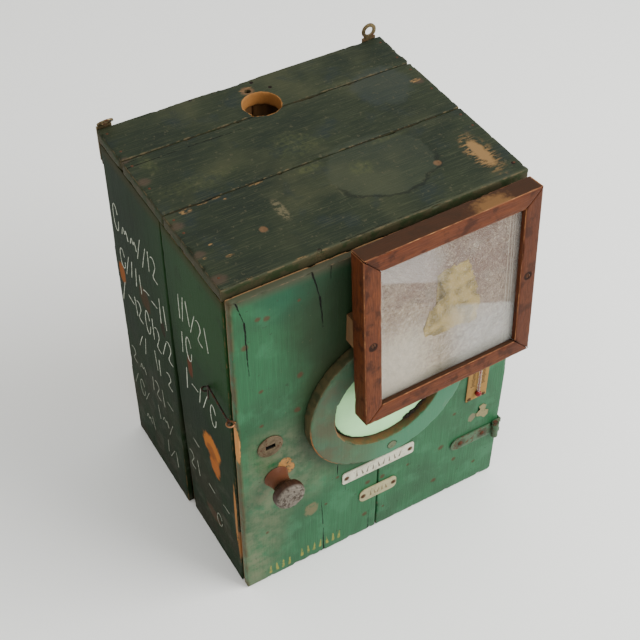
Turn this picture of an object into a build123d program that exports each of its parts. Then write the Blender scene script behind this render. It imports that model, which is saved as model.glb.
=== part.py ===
"""Small green wooden cabinet, sold as a nesting box: board case, hinged front door
with a round window ring, a tilted glazed picture frame, a turned knob with an inside
turn-latch, a cupboard lock, a side hook and two rear hanger plates.

Row frame: +Z up, the door faces -Y, +X to the right seen from the front.
Origin: on the floor plane, centred on the case's width and depth. Millimetres.
"""
import os
from build123d import *

# ---- driving dimensions ----------------------------------------------------
DOOR_WIDTH = 305.0
DOOR_TOP = 407.5
DOOR_BOTTOM = 1.0
DOOR_THICK = 9.0
DOOR_GAP = 2.3
CASE_WIDTH = 306.0
CASE_DEPTH = 246.2
CASE_HEIGHT = 414.4
BOARD = 12.7
TOP_BOARD = 14.0
RAIL_PROUD = 4.0
RAIL_HEIGHT = 26.0
SEAM = 0.4
TOP_SEAMS = (-16.0, 69.0)
SIDE_SEAM = -6.4
LEFT_BOW = 3.2
BATTEN = 12.0
NAIL_ROWS = (-108.0, -45.0, -26.0, 22.0, 58.0, 82.0, 112.0)
NAIL_INSET = 6.0

HANGER_HALF = 7.5
HANGER_THICK = 1.6
EYE_OUTER_R = 8.0
EYE_HOLE_R = 4.3
EYE_RISE = 7.0
HANGERS = {"hanger_right": (140.5, 0.0), "hanger_left": (-145.0, 42.0)}

RING_OUTER_R = 87.5
RING_INNER_R = 60.0
RING_THICK = 12.0
RING_X = 2.5
RING_Z = 220.0
PANEL_R = 58.6
PANEL_THICK = 3.5

TOP_HOLE_R = 18.0
TOP_HOLE_X = -4.0
TOP_HOLE_Y = 81.2
TOP_SCREW_X = 87.8
TOP_SCREW_Y = -74.8
TOP_SCREW_R = 1.6

HINGE_X = 146.2
BARREL_R = 3.8
BARREL_HALF = 10.5
HINGE_PIN_R = 1.6
RUNNING_FIT = 0.05
KNUCKLE_CLEAR = 0.3
LEAF_THICK = 1.6
LEAF_END = 38.0
STRAP_START = 99.5
STRAP_END = 141.2
STRAP_HALF = 8.4
MIDDLE_KNUCKLE = 4.5
HINGE_HEIGHTS = {"lower": 77.0, "upper": 298.0}

FRAME_WIDTH = 187.0
FRAME_HEIGHT = 189.5
FRAME_DEPTH = 20.0
STILE = 18.5
REBATE = 4.0
FRAME_X = 50.5
FRAME_STANDOFF = 20.0
GLASS_BACK = -2.0
GLASS_THICK = 2.0
BACKING = (-1.6, 1.4)
FRAME_Z = 326.0
FRAME_TILT = -5.0
FRAME_YAW = 1.5
FRAME_ROLL = 0.5

KNOB_X = -115.5
KNOB_Z = 164.0
SPINDLE_R = 3.0
LOCK_X = -120.5
LOCK_Z = 211.6
KEYHOLE = (10.0, 5.6)

# ---- derived planes --------------------------------------------------------
HALF_CASE = CASE_WIDTH / 2
HALF_DOOR = DOOR_WIDTH / 2
CASE_FRONT = -CASE_DEPTH / 2
CASE_BACK = CASE_DEPTH / 2
BOARDS_BACK = CASE_BACK - RAIL_PROUD
TOP_UNDER = CASE_HEIGHT - TOP_BOARD
INNER_X = HALF_CASE - BOARD
INNER_BACK = BOARDS_BACK - BOARD
DOOR_BACK = CASE_FRONT - DOOR_GAP
DOOR_FRONT = DOOR_BACK - DOOR_THICK
HINGE_Y = DOOR_FRONT - BARREL_R - KNUCKLE_CLEAR

nodes = {}


# ---- helpers ---------------------------------------------------------------
def block(x, y, z):
    """Box between low and high values along each axis."""
    centre = Pos((x[0] + x[1]) / 2, (y[0] + y[1]) / 2, (z[0] + z[1]) / 2)
    return centre * Box(x[1] - x[0], y[1] - y[0], z[1] - z[0])


def rod(start, end, radius):
    """Round bar from one point to another."""
    run = Vector(*end) - Vector(*start)
    return extrude(Plane(origin=start, z_dir=run) * Circle(radius), amount=run.length)


def prism(points, direction, length):
    """Closed outline of 3-D points, extruded."""
    face = make_face(Polyline(*points, close=True))
    return extrude(face, amount=length, dir=direction)


def screw(point, inward, length, head_r=2.9, head_h=1.5, shank_r=1.4):
    """Round-headed screw: the head's underside is at point, the shank runs inward."""
    dome = ThreePointArc((0, 0, head_h), (0.75 * head_r, 0, 0.66 * head_h), (head_r, 0, 0))
    shank = Polyline((head_r, 0, 0), (shank_r, 0, 0), (shank_r, 0, -length), (0, 0, -length), (0, 0, head_h))
    solid = revolve(make_face(Curve() + [dome, shank]), axis=Axis.Z)
    return Plane(origin=point, z_dir=Vector(*inward) * -1).location * solid


def group(solids):
    """Several separate solids kept in one node."""
    return Compound(children=list(solids))


def turned(profile, x, z):
    """Profile of (radius, distance in front of the door), turned about a line along Y."""
    outline = [(radius, -distance, 0) for radius, distance in profile]
    solid = revolve(make_face(Polyline(*outline, close=True)), axis=Axis.Y)
    return Pos(x, DOOR_FRONT, z) * solid


def soften(solid, radius, axis):
    """Round the long edges that run along one axis."""
    return fillet(solid.edges().filter_by(axis), radius)


# ---- case ------------------------------------------------------------------
def top_boards():
    """Three boards over the sides, with the round hole across the rear seam."""
    seams = [CASE_FRONT, *TOP_SEAMS, CASE_BACK]
    names = ["top_front_board", "top_middle_board", "top_rear_board"]
    bore = rod((TOP_HOLE_X, TOP_HOLE_Y, 0), (TOP_HOLE_X, TOP_HOLE_Y, 500), TOP_HOLE_R)
    side_hole = rod((-6.1, 105.6, 0), (-6.1, 105.6, 500), 3.0)
    for name, low, high in zip(names, seams, seams[1:]):
        board = block((-HALF_CASE - 0.5, HALF_CASE + 0.5), (low + SEAM / 2, high - SEAM / 2),
                      (TOP_UNDER, CASE_HEIGHT))
        board = soften(board, 1.0, Axis.X)
        nodes[name] = board - bore - side_hole
    for x in (-TOP_SCREW_X, TOP_SCREW_X):
        nodes["top_front_board"] -= rod((x, TOP_SCREW_Y, 0), (x, TOP_SCREW_Y, 500), TOP_SCREW_R)


def side_boards():
    """Two upright boards a side; on the left they have shrunk apart over a tongue."""
    seam = SIDE_SEAM
    top = TOP_UNDER
    left_front = prism(
        [(-HALF_CASE, CASE_FRONT, 0), (-HALF_CASE, seam - 9.5, 0), (-HALF_CASE, seam - SEAM, 250),
         (-HALF_CASE, seam - SEAM, top), (-HALF_CASE, CASE_FRONT, top)], (1, 0, 0), BOARD)
    left_rear = prism(
        [(-HALF_CASE - LEFT_BOW, seam, 0), (-INNER_X, seam, 0), (-INNER_X, seam, top), (-HALF_CASE, seam, top)],
        (0, 1, 0), BOARDS_BACK - seam)
    tongue = block((-149.0, -144.0), (seam - 12.0, seam + 5.0), (0, top - 1))
    groove = block((-149.0, -144.0), (seam - 12.3, seam + 5.0), (0, top - 1))
    mortise = block((-148.0, -INNER_X), (-120.9, -114.9), (LOCK_Z - 7.0, LOCK_Z + 7.0))
    nodes["left_front_board"] = left_front - groove - mortise
    nodes["left_rear_board"] = left_rear - tongue
    nodes["left_board_tongue"] = tongue
    nodes["right_front_board"] = soften(
        block((INNER_X, HALF_CASE), (CASE_FRONT, seam - SEAM), (0, top)), 0.8, Axis.Z)
    nodes["right_rear_board"] = block((INNER_X, HALF_CASE), (seam, BOARDS_BACK), (0, top))


def inner_case():
    """Back, bottom, hanging rail, corner battens and the keeper for the turn-latch."""
    top = TOP_UNDER
    back = (INNER_BACK, BOARDS_BACK)
    nodes["back_left_board"] = block((-INNER_X, -SEAM / 2), back, (0, top))
    nodes["back_right_board"] = block((SEAM / 2, INNER_X), back, (0, top))
    nodes["bottom_board"] = block((-INNER_X, INNER_X), (CASE_FRONT, INNER_BACK), (0, BOARD))
    nodes["hanging_rail"] = block((-HALF_CASE, HALF_CASE), (BOARDS_BACK, CASE_BACK), (top - RAIL_HEIGHT, top))
    run = (CASE_FRONT + 16.0, INNER_BACK)
    for side, name in ((-1, "left"), (1, "right")):
        x = sorted((side * INNER_X, side * (INNER_X - BATTEN)))
        nodes[name + "_upper_batten"] = block(x, run, (top - BATTEN, top))
        nodes[name + "_lower_batten"] = block(x, run, (BOARD, BOARD + BATTEN))
    nodes["latch_keeper"] = block((-INNER_X, -128.3), (CASE_FRONT, CASE_FRONT + 3.7), (KNOB_Z - 11, KNOB_Z + 11))


def case_nails():
    """Wire nails through the top into the side boards."""
    nails = []
    for side in (-1, 1):
        for y in NAIL_ROWS:
            x = side * (HALF_CASE - NAIL_INSET)
            nail = rod((x, y, CASE_HEIGHT - 24), (x, y, CASE_HEIGHT), 0.9)
            nails.append(nail + rod((x, y, CASE_HEIGHT - 0.8), (x, y, CASE_HEIGHT), 1.7))
    nodes["case_nails"] = group(nails)
    for name in ("top_front_board", "top_middle_board", "top_rear_board", "left_front_board",
                 "left_rear_board", "right_front_board", "right_rear_board"):
        for nail in nails:
            nodes[name] -= nail


def hanger(x, bend):
    """Mirror plate with a round eye above the top edge, its eye bent forward by some degrees."""
    half = HANGER_THICK / 2
    fold = CASE_HEIGHT + HANGER_THICK
    plate = block((x - HANGER_HALF, x + HANGER_HALF), (CASE_BACK, CASE_BACK + HANGER_THICK), (TOP_UNDER - 22, fold))
    eye = rod((0, 0, EYE_RISE), (0, HANGER_THICK, EYE_RISE), EYE_OUTER_R)
    neck = block((-5.5, 5.5), (0, HANGER_THICK), (0, EYE_RISE))
    hole = rod((0, -5, EYE_RISE), (0, 5, EYE_RISE), EYE_HOLE_R)
    eye = Pos(x, CASE_BACK, fold) * Rot(bend, 0, 0) * ((eye + neck) - hole)
    joint = rod((x - 5.5, CASE_BACK + half, fold), (x + 5.5, CASE_BACK + half, fold), half)
    return plate + eye + joint


def hangers():
    """Two hanger plates on the rear rail and their screws, sunk in the rail and back."""
    screws = []
    for name, (x, bend) in HANGERS.items():
        nodes[name] = hanger(x, bend)
        for z in (TOP_UNDER - 17, TOP_UNDER - 6):
            screws.append(screw((x, CASE_BACK + HANGER_THICK, z), (0, -1, 0), 11.0))
    return screws


def wall_eye():
    """Small screw eye in the left side, its ring lying flat."""
    x, y, z = -HALF_CASE - 4.2, DOOR_FRONT + 52.0, 260.6
    ring = Pos(x, y, z) * Torus(2.8, 0.8)
    shank = rod((x + 2.6, y, z), (-HALF_CASE + 9.0, y, z), 0.9)
    nodes["wall_eye"] = ring + shank
    nodes["left_front_board"] -= shank


# ---- hinges ----------------------------------------------------------------
def hinges():
    """Strap leaf on the door, side leaf round the door's edge, and a pin held in the side leaf."""
    strap_screws = []
    side_screws = []
    leaf_outside = HALF_CASE + LEAF_THICK
    for name, z in HINGE_HEIGHTS.items():
        barrel = rod((HINGE_X, HINGE_Y, z - BARREL_HALF), (HINGE_X, HINGE_Y, z + BARREL_HALF), BARREL_R)
        middle = block((0, 200), (-200, 0), (z - MIDDLE_KNUCKLE, z + MIDDLE_KNUCKLE))
        side_band = block((0, 200), (-200, DOOR_BACK), (z - MIDDLE_KNUCKLE - 0.2, z + MIDDLE_KNUCKLE + 0.2))
        pin = rod((HINGE_X, HINGE_Y, z - BARREL_HALF), (HINGE_X, HINGE_Y, z + BARREL_HALF), HINGE_PIN_R)
        for end in (-BARREL_HALF - 0.7, BARREL_HALF):
            pin += rod((HINGE_X, HINGE_Y, z + end), (HINGE_X, HINGE_Y, z + end + 0.7), 2.6)
        pin_room = rod((HINGE_X, HINGE_Y, z - 20), (HINGE_X, HINGE_Y, z + 20), HINGE_PIN_R + RUNNING_FIT)

        strap_y = (DOOR_FRONT - LEAF_THICK, DOOR_FRONT)
        strap = block((STRAP_START, STRAP_END), strap_y, (z - STRAP_HALF, z + STRAP_HALF))
        strap += rod((STRAP_START, strap_y[0], z), (STRAP_START, strap_y[1], z), STRAP_HALF)
        link = block((STRAP_END, HINGE_X), strap_y, (z - MIDDLE_KNUCKLE, z + MIDDLE_KNUCKLE))
        strap = strap + link + (barrel & middle) - pin_room

        wrap_y = (HINGE_Y + BARREL_R - LEAF_THICK, HINGE_Y + BARREL_R)
        wrap = block((HINGE_X, leaf_outside), wrap_y, (z - BARREL_HALF, z + BARREL_HALF))
        plate_y = (wrap_y[0], CASE_FRONT + LEAF_END)
        plate = block((HALF_CASE, leaf_outside), plate_y, (z - BARREL_HALF, z + BARREL_HALF))
        side = wrap + soften(plate, 0.5, Axis.Y) + barrel - side_band
        nodes[name + "_hinge_side_leaf"] = side - pin
        nodes[name + "_hinge_pin"] = pin

        for x in (103.0, 131.0):
            strap_screws.append(screw((x, DOOR_FRONT - LEAF_THICK, z), (0, 1, 0), 9.0))
        for y in (CASE_FRONT + 10, CASE_FRONT + 29):
            side_screws.append(screw((leaf_outside, y, z), (-1, 0, 0), 12.0))
        nodes[name + "_hinge_strap"] = strap
    return strap_screws, side_screws


# ---- door ------------------------------------------------------------------
def door_boards():
    """Two upright boards with a drying crack, held by two battens inside."""
    joint = 1.5
    thick = (DOOR_FRONT, DOOR_BACK)
    left = block((-HALF_DOOR, joint - SEAM / 2), thick, (DOOR_BOTTOM, DOOR_TOP))
    right = block((joint + SEAM / 2, HALF_DOOR), thick, (DOOR_BOTTOM, DOOR_TOP))
    left = fillet(left.edges().filter_by(Axis.Z).sort_by(Axis.X)[:2], 1.0)
    right = fillet(right.edges().filter_by(Axis.Y).sort_by(Axis.Z)[:2].sort_by(Axis.X)[-1], 5.0)
    crack_x = -62.5
    crack = prism(
        [(crack_x - 0.8, DOOR_FRONT, 0), (crack_x + 0.8, DOOR_FRONT, 0), (crack_x + 1.4, DOOR_FRONT, 52)],
        (0, 1, 0), DOOR_THICK)
    keyhole = block((LOCK_X - KEYHOLE[0] / 2, LOCK_X + KEYHOLE[0] / 2), (DOOR_FRONT - 3, DOOR_BACK + 2.6),
                    (LOCK_Z - KEYHOLE[1] / 2, LOCK_Z + KEYHOLE[1] / 2))
    spindle_hole = rod((KNOB_X, DOOR_FRONT - 1, KNOB_Z), (KNOB_X, DOOR_BACK + 1, KNOB_Z), SPINDLE_R + RUNNING_FIT)
    nodes["door_left_board"] = left - crack - keyhole - spindle_hole
    nodes["door_right_board"] = right
    inside = (DOOR_BACK, DOOR_BACK + 12.0)
    nodes["door_lower_batten"] = soften(block((-132, 128), inside, (30, 56)), 1.0, Axis.X)
    nodes["door_upper_batten"] = soften(block((-132, 128), inside, (350, 376)), 1.0, Axis.X)

    plate = rod((LOCK_X, DOOR_FRONT - 1.5, LOCK_Z), (LOCK_X, DOOR_FRONT, LOCK_Z), 13.3)
    plate = chamfer(plate.faces().sort_by(Axis.Y)[0].edges(), 0.6)
    nodes["escutcheon"] = plate - keyhole
    bolt_room = block((-137, -104), (-120.7, -115.1), (LOCK_Z - 6.3, LOCK_Z + 6.3))
    case = block((-136.5, -100.5), (DOOR_BACK, DOOR_BACK + 12.0), (LOCK_Z - 20, LOCK_Z + 20))
    nodes["lock_case"] = case - bolt_room - keyhole
    nodes["lock_bolt"] = block((-138.3, -113.0), (-120.4, -115.4), (LOCK_Z - 6, LOCK_Z + 6))


def window():
    """Raised ring, the round panel inside it and the plugs over the ring's two screws."""
    front = DOOR_FRONT - RING_THICK
    outer = rod((RING_X, front, RING_Z), (RING_X, DOOR_FRONT, RING_Z), RING_OUTER_R)
    outer = fillet(outer.faces().sort_by(Axis.Y)[0].edges(), 1.6)
    inner = rod((RING_X, front - 1, RING_Z), (RING_X, DOOR_FRONT + 1, RING_Z), RING_INNER_R)
    ring = outer - inner
    plugs = []
    for side in (-1, 1):
        z = RING_Z + side * (RING_OUTER_R + RING_INNER_R) / 2
        plugs.append(rod((RING_X + 5, front - 0.3, z), (RING_X + 5, front + 5, z), 5.0))
    for plug in plugs:
        ring -= plug
    nodes["window_ring"] = ring
    nodes["ring_plugs"] = group(plugs)
    nodes["window_panel"] = rod((RING_X, DOOR_FRONT - PANEL_THICK, RING_Z), (RING_X, DOOR_FRONT, RING_Z), PANEL_R)


def label_plate(x, z, width, height, corner):
    """Thin blank plate with rounded corners on the door's face."""
    plate = block((x - width / 2, x + width / 2), (DOOR_FRONT - 1.2, DOOR_FRONT), (z - height / 2, z + height / 2))
    return soften(plate, corner, Axis.Y)


def door_fittings():
    """Two blank plates, the thermometer and their small screws."""
    nodes["upper_plate"] = label_plate(0.5, 109.0, 84.5, 16.7, 3.0)
    nodes["lower_plate"] = label_plate(1.7, 65.5, 44.3, 18.3, 6.0)
    card_x = 116.3
    card = block((card_x - 13.2, card_x + 13.2), (DOOR_FRONT - 1.6, DOOR_FRONT), (140.3, 262.0))
    card = soften(card, 0.8, Axis.Y)
    bulb = Pos(card_x, DOOR_FRONT - 3.8, 151.0) * Sphere(3.4)
    tube = rod((card_x, DOOR_FRONT - 3.4, 151.0), (card_x, DOOR_FRONT - 3.4, 256.0), 1.7)
    nodes["thermometer_card"] = card - bulb
    nodes["thermometer_bulb"] = bulb
    nodes["thermometer_tube"] = tube - bulb
    spots = [(-37.1, 109.0, 1.2), (38.1, 109.0, 1.2), (-16.5, 65.0, 1.2), (20.3, 65.6, 1.2)]
    spots += [(card_x - 8.7, 143.8, 1.6), (card_x + 8.7, 143.8, 1.6), (card_x, 259.0, 1.6)]
    screws = []
    for x, z, plate in spots:
        screws.append(screw((x, DOOR_FRONT - plate, z), (0, 1, 0), 7.0, 2.2, 0.9, 0.9))
    nodes["small_screws"] = group(screws)
    for fastener in screws:
        for name in ("upper_plate", "lower_plate", "thermometer_card", "door_left_board", "door_right_board"):
            nodes[name] -= fastener


def door_eye_and_hook():
    """Flat screw eye in the door's left edge and the wire hook that turns in it."""
    x, y, z = -HALF_DOOR - 4.6, DOOR_FRONT + 2.8, 262.0
    ring_r = 3.3
    wire = 0.9
    shank = rod((x + ring_r, y, z), (-HALF_DOOR + 8.0, y, z), 1.0)
    nodes["door_eye"] = (Pos(x, y, z) * Torus(ring_r, wire)) + shank
    nodes["door_left_board"] -= shank
    pivot_y = y + ring_r
    loop_r = 2.25
    loop = Pos(x, pivot_y, z) * Rot(0, 90, 0) * Torus(loop_r, wire)
    start = (x, pivot_y + loop_r, z)
    bend = (x, DOOR_FRONT + 45.0, z + 9.5)
    tail = (x, DOOR_FRONT + 46.2, z - 9.5)
    knuckle = Pos(*bend) * Sphere(wire)
    tip = Pos(*tail) * Sphere(wire)
    nodes["side_hook"] = loop + rod(start, bend, wire) + knuckle + rod(bend, tail, wire) + tip


def picture_frame():
    """Mitred frame with glass and a backing board, tilted off the door on two blocks."""
    place = Pos(FRAME_X, DOOR_FRONT - FRAME_STANDOFF, FRAME_Z)
    place = place * Rot(0, 0, FRAME_YAW) * Rot(0, FRAME_ROLL, 0) * Rot(FRAME_TILT, 0, 0)
    w, h, d = FRAME_WIDTH / 2, FRAME_HEIGHT / 2, FRAME_DEPTH / 2
    wi, hi = w - STILE, h - STILE
    members = {
        "frame_top_rail": [(-w, h), (w, h), (wi, hi), (-wi, hi)],
        "frame_bottom_rail": [(-w, -h), (w, -h), (wi, -hi), (-wi, -hi)],
        "frame_left_stile": [(-w, h), (-wi, hi), (-wi, -hi), (-w, -h)],
        "frame_right_stile": [(w, h), (wi, hi), (wi, -hi), (w, -h)],
    }
    rebate_y = (GLASS_BACK - GLASS_THICK, d + 1)
    rebate = block((-wi - REBATE, wi + REBATE), rebate_y, (-hi - REBATE, hi + REBATE))
    screws = []
    for side in (-1, 1):
        screws.append(screw((side * (w - STILE / 2), -d + 0.9, -1.0), (0, 1, 0), 37.0, 3.2, 0.9, 1.8))
    for name, outline in members.items():
        member = prism([(x, -d, z) for x, z in outline], (0, 1, 0), FRAME_DEPTH) - rebate
        for fastener in screws:
            member -= fastener
            head_room = Pos(0, -1.0, 0) * fastener
            member -= head_room
        nodes[name] = place * member
    fit = 0.3
    pane = (wi + REBATE - fit, hi + REBATE - fit)
    glass_y = (GLASS_BACK - GLASS_THICK, GLASS_BACK)
    nodes["frame_glass"] = place * block((-pane[0], pane[0]), glass_y, (-pane[1], pane[1]))
    nodes["frame_backing"] = place * block((-pane[0], pane[0]), BACKING, (-pane[1], pane[1]))
    placed_screws = [place * fastener for fastener in screws]
    front_side = place * block((-200, 200), (-300, d), (-200, 200))
    for name, side in (("left", -1), ("right", 1)):
        x = FRAME_X + side * (w - STILE / 2)
        spacer = block((x - 7.5, x + 7.5), (DOOR_FRONT - 40, DOOR_FRONT), (FRAME_Z - 16, FRAME_Z + 16))
        spacer = spacer - front_side
        for fastener in placed_screws:
            spacer -= fastener
            nodes["door_" + name + "_board"] -= fastener
        nodes["frame_" + name + "_spacer"] = spacer
    nodes["frame_screws"] = group(placed_screws)


def knob_set():
    """Turned knob on a spindle that carries the turn-latch inside the door."""
    profile = [(0, 0.3), (12.0, 0.3), (12.4, 2.2), (11.0, 5.0), (9.6, 10.0), (10.2, 15.0), (12.6, 18.0),
               (15.6, 20.6), (16.2, 24.5), (15.6, 28.2), (13.8, 30.2), (8.0, 31.2), (0, 31.6)]
    bar_y = (-118.6, -115.6)
    spindle = rod((KNOB_X, DOOR_FRONT - 22.0, KNOB_Z), (KNOB_X, bar_y[1] + 2.0, KNOB_Z), SPINDLE_R)
    bar = block((KNOB_X - 5, KNOB_X + 5), bar_y, (KNOB_Z - 20.5, KNOB_Z + 5))
    bar = soften(bar, 4.5, Axis.Y)
    nodes["knob"] = turned(profile, KNOB_X, KNOB_Z) - spindle
    nodes["knob_spindle"] = spindle
    nodes["latch_bar"] = bar - spindle


top_boards()
side_boards()
inner_case()
case_nails()
wall_eye()
plate_screws = hangers()
strap_screws, side_screws = hinges()
door_boards()
window()
door_fittings()
door_eye_and_hook()
picture_frame()
knob_set()

nodes["case_screws"] = group(plate_screws + side_screws)
nodes["hinge_strap_screws"] = group(strap_screws)
for fastener in plate_screws + side_screws:
    for name in ("hanger_left", "hanger_right", "hanging_rail", "back_left_board", "back_right_board",
                 "left_rear_board", "right_rear_board", "right_front_board",
                 "lower_hinge_side_leaf", "upper_hinge_side_leaf"):
        nodes[name] -= fastener
for fastener in strap_screws:
    for name in ("lower_hinge_strap", "upper_hinge_strap", "door_right_board"):
        nodes[name] -= fastener

os.makedirs("parts", exist_ok=True)
for node, shape in nodes.items():
    export_step(shape, "parts/" + node + ".step")
print(len(nodes), "nodes")
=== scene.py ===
"""Worn boards, paint, picture frame and fittings for a small green nesting box.

The file is laid out as an add-on. Each operator makes one piece or one group of like
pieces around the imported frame; main() calls them in order. Places are worked out from
the frame's own nodes. Marks on the paint are placed in millimetres in the box's frame:
x from the middle to the right, y from the middle to the back, z up from the floor.
"""
import math
import random
from contextlib import contextmanager

import bmesh
import bpy
import numpy as np
from bpy.props import FloatProperty, FloatVectorProperty, IntProperty, PointerProperty
from mathutils import Matrix, Vector, noise


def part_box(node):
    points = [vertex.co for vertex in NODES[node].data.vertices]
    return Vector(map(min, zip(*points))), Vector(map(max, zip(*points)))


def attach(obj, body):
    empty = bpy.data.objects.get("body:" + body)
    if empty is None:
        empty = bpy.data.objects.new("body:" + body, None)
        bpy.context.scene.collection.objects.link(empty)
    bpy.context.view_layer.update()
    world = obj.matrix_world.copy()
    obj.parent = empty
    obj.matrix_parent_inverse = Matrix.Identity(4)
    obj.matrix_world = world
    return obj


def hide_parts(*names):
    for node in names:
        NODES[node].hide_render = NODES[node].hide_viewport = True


bl_info = {
    "name": "Nesting Box Finishes",
    "version": (1, 0, 0),
    "blender": (4, 5, 0),
    "location": "View3D > Sidebar > Nesting Box",
    "description": "Worn boards, paint, picture frame and fittings of a green nesting box",
    "category": "Add Mesh",
}

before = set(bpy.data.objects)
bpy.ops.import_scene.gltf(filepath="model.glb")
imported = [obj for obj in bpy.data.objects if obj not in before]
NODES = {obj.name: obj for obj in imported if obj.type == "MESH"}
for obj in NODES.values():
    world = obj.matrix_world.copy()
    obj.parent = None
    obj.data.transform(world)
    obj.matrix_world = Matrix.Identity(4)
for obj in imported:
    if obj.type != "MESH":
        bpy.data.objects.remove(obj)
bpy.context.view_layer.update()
MM = 0.001
ARRIS = "arris"

DOOR_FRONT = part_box("door_left_board")[0].y
DOOR_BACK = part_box("door_left_board")[1].y
TOP_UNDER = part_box("top_front_board")[0].z
LEFT_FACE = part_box("left_front_board")[0].x
RING_LOW, RING_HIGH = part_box("window_ring")
RING_MIDDLE = (RING_LOW + RING_HIGH) / 2
RING_RADIUS = (RING_HIGH.z - RING_LOW.z) / 2
PANEL_LOW, PANEL_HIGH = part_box("window_panel")
PANEL_RADIUS = (PANEL_HIGH.z - PANEL_LOW.z) / 2
FRAME_MEMBERS = ("frame_top_rail", "frame_bottom_rail", "frame_left_stile", "frame_right_stile")
FRAME_LOW = Vector(min(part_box(name)[0][i] for name in FRAME_MEMBERS) for i in range(3))
FRAME_HIGH = Vector(max(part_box(name)[1][i] for name in FRAME_MEMBERS) for i in range(3))
FRAME_MIDDLE = (FRAME_LOW + FRAME_HIGH) / 2
FRAME_TURN = Matrix.Rotation(math.radians(1.5), 3, "Z")
FRAME_TURN = FRAME_TURN @ Matrix.Rotation(math.radians(0.5), 3, "Y")
FRAME_TURN = FRAME_TURN @ Matrix.Rotation(math.radians(-5.0), 3, "X")

# Where the painted faces are in millimetres, for the marks on them.
DOOR_FACE, RING_FACE, PLATE_FACE = -134.0, -146.0, -135.6
SIDE_FACE, TOP_FACE, TOP_SPOTS = -153.0, 414.0, 413.0
DEEP = 60.0  # reach of a spot down through the top, so that it shows on the edges too
FAR = 4000.0  # reach of a spot that goes right through
AGED = 0.8  # every paint and wood is toned down by this
# black of cracks and seams, also used for the painted shade inside the keyhole
CRACK_AND_SHADE_BLACK = (0.004, 0.004, 0.003)
HOLE_BLACK = (0.012, 0.007, 0.005)
SAME_POINT = 2e-6  # points nearer than this are one point
HOLE_MIDDLE, HOLE_REACH = (-4.0, 81.2, 0.0), 18.9  # the sawn hole, with its bare rim
WALL_INSIDE = 141.2  # x of the unpainted inner face of a side
RING_GRID, CARD_GRID = 0.0012, 0.0006
STRAP_SCREWS = ((103, 77), (131, 77), (103, 298), (131, 298))
FRAME_SCREWS = ((-33.9, 325.3), (134.7, 325.3))


# ---- settings ----------------------------------------------------------------
def size_setting(name, text, default, low=0.0, high=0.1):
    """A length in metres."""
    return FloatProperty(name=name, description=text, default=default, min=low, max=high,
                         unit="LENGTH", precision=4)


def colour_setting(name, text, default):
    """A colour of paint, wood or metal."""
    return FloatVectorProperty(name=name, description=text, default=default, size=3, min=0.0, max=1.0,
                               subtype="COLOR")


class NestBoxWear(bpy.types.PropertyGroup):
    """How far time has rounded and chipped the wood."""
    board_grid: size_setting("Board grid", "Spacing of the mesh on the boards", 0.0014, 0.0005)
    fine_grid: size_setting("Fine grid", "Spacing of the mesh on small wooden parts", 0.0009, 0.0004)
    chip_depth: size_setting("Chip depth", "Deepest loss along the arrises", 0.0016)
    chip_length: size_setting("Chip length", "Length of a loss along the arrises", 0.012)
    swell: size_setting("Swell", "How uneven the faces of the boards are", 0.0004)
    arris_reach: size_setting("Arris reach", "How far wear reaches in from an arris", 0.0022)
    seed: IntProperty(name="Seed", description="Changes every random mark", default=7, min=0)


class NestBoxPaint(bpy.types.PropertyGroup):
    """Paints, woods and metals."""
    door_green: colour_setting("Door green", "Paint on the door", (0.018, 0.118, 0.043))
    door_dark: colour_setting("Door dark", "Darkened paint on the door", (0.014, 0.06, 0.022))
    ring_green: colour_setting("Ring green", "Paint on the window ring", (0.058, 0.125, 0.06))
    side_green: colour_setting("Side green", "Paint on the sides", (0.004, 0.019, 0.002))
    top_green: colour_setting("Top green", "Paint on the top", (0.026, 0.034, 0.017))
    mint: colour_setting("Mint", "Paint on the round panel", (0.5, 0.92, 0.45))
    pine: colour_setting("Pine", "Bare softwood", (0.38, 0.2, 0.085))
    bright_pine: colour_setting("Bright pine", "Freshly bared softwood", (0.5, 0.22, 0.06))
    old_pine: colour_setting("Old pine", "Greyed and dirty softwood", (0.1, 0.075, 0.042))
    mahogany: colour_setting("Mahogany", "Wood of the picture frame", (0.14, 0.035, 0.009))
    rust: colour_setting("Rust", "Rust on screws and nails", (0.075, 0.03, 0.014))
    grime: colour_setting("Grime", "Handled dirt on paint", (0.05, 0.042, 0.022))
    chalk: colour_setting("Chalk", "Chalk marks", (0.55, 0.58, 0.48))


class NestBoxStage(bpy.types.PropertyGroup):
    """Camera, floor and light."""
    eye: FloatVectorProperty(name="Eye", description="Place of the camera", size=3, subtype="TRANSLATION",
                             unit="LENGTH", default=(-0.4493, -0.7757, 1.1076))
    aim: FloatVectorProperty(name="Aim", description="Point that the camera looks at", size=3,
                             subtype="TRANSLATION", unit="LENGTH", default=(0.0046, -0.0124, 0.204))
    roll: FloatProperty(name="Roll", description="Turn of the camera about its view", subtype="ANGLE",
                        default=math.radians(0.22))
    lens: FloatProperty(name="Lens", description="Focal length in millimetres", default=70.54, min=10.0)
    floor: colour_setting("Floor", "Colour of the floor", (0.9, 0.905, 0.875))
    key_power: FloatProperty(name="Key light", description="Power of the large light", default=80.0,
                             unit="POWER")
    sky: FloatProperty(name="Sky", description="Strength of the light from all round", default=1.12)


def wear():
    """How far the wood is worn."""
    return bpy.context.scene.nest_wear


def paint():
    """The colours in use."""
    return bpy.context.scene.nest_paint


# ---- node helpers --------------------------------------------------------------
def feed(tree, socket, value):
    """Link a socket, or set its value."""
    if isinstance(value, bpy.types.NodeSocket):
        tree.links.new(value, socket)
        return
    if socket.type == "RGBA" and len(value) == 3:
        value = (*value, 1.0)
    socket.default_value = value


def put(tree, kind, inputs=None, **settings):
    """Add one node with its settings and inputs."""
    made = tree.nodes.new(kind)
    for key, value in settings.items():
        setattr(made, key, value)
    for key, value in (inputs or {}).items():
        feed(tree, made.inputs[key], value)
    return made


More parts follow.
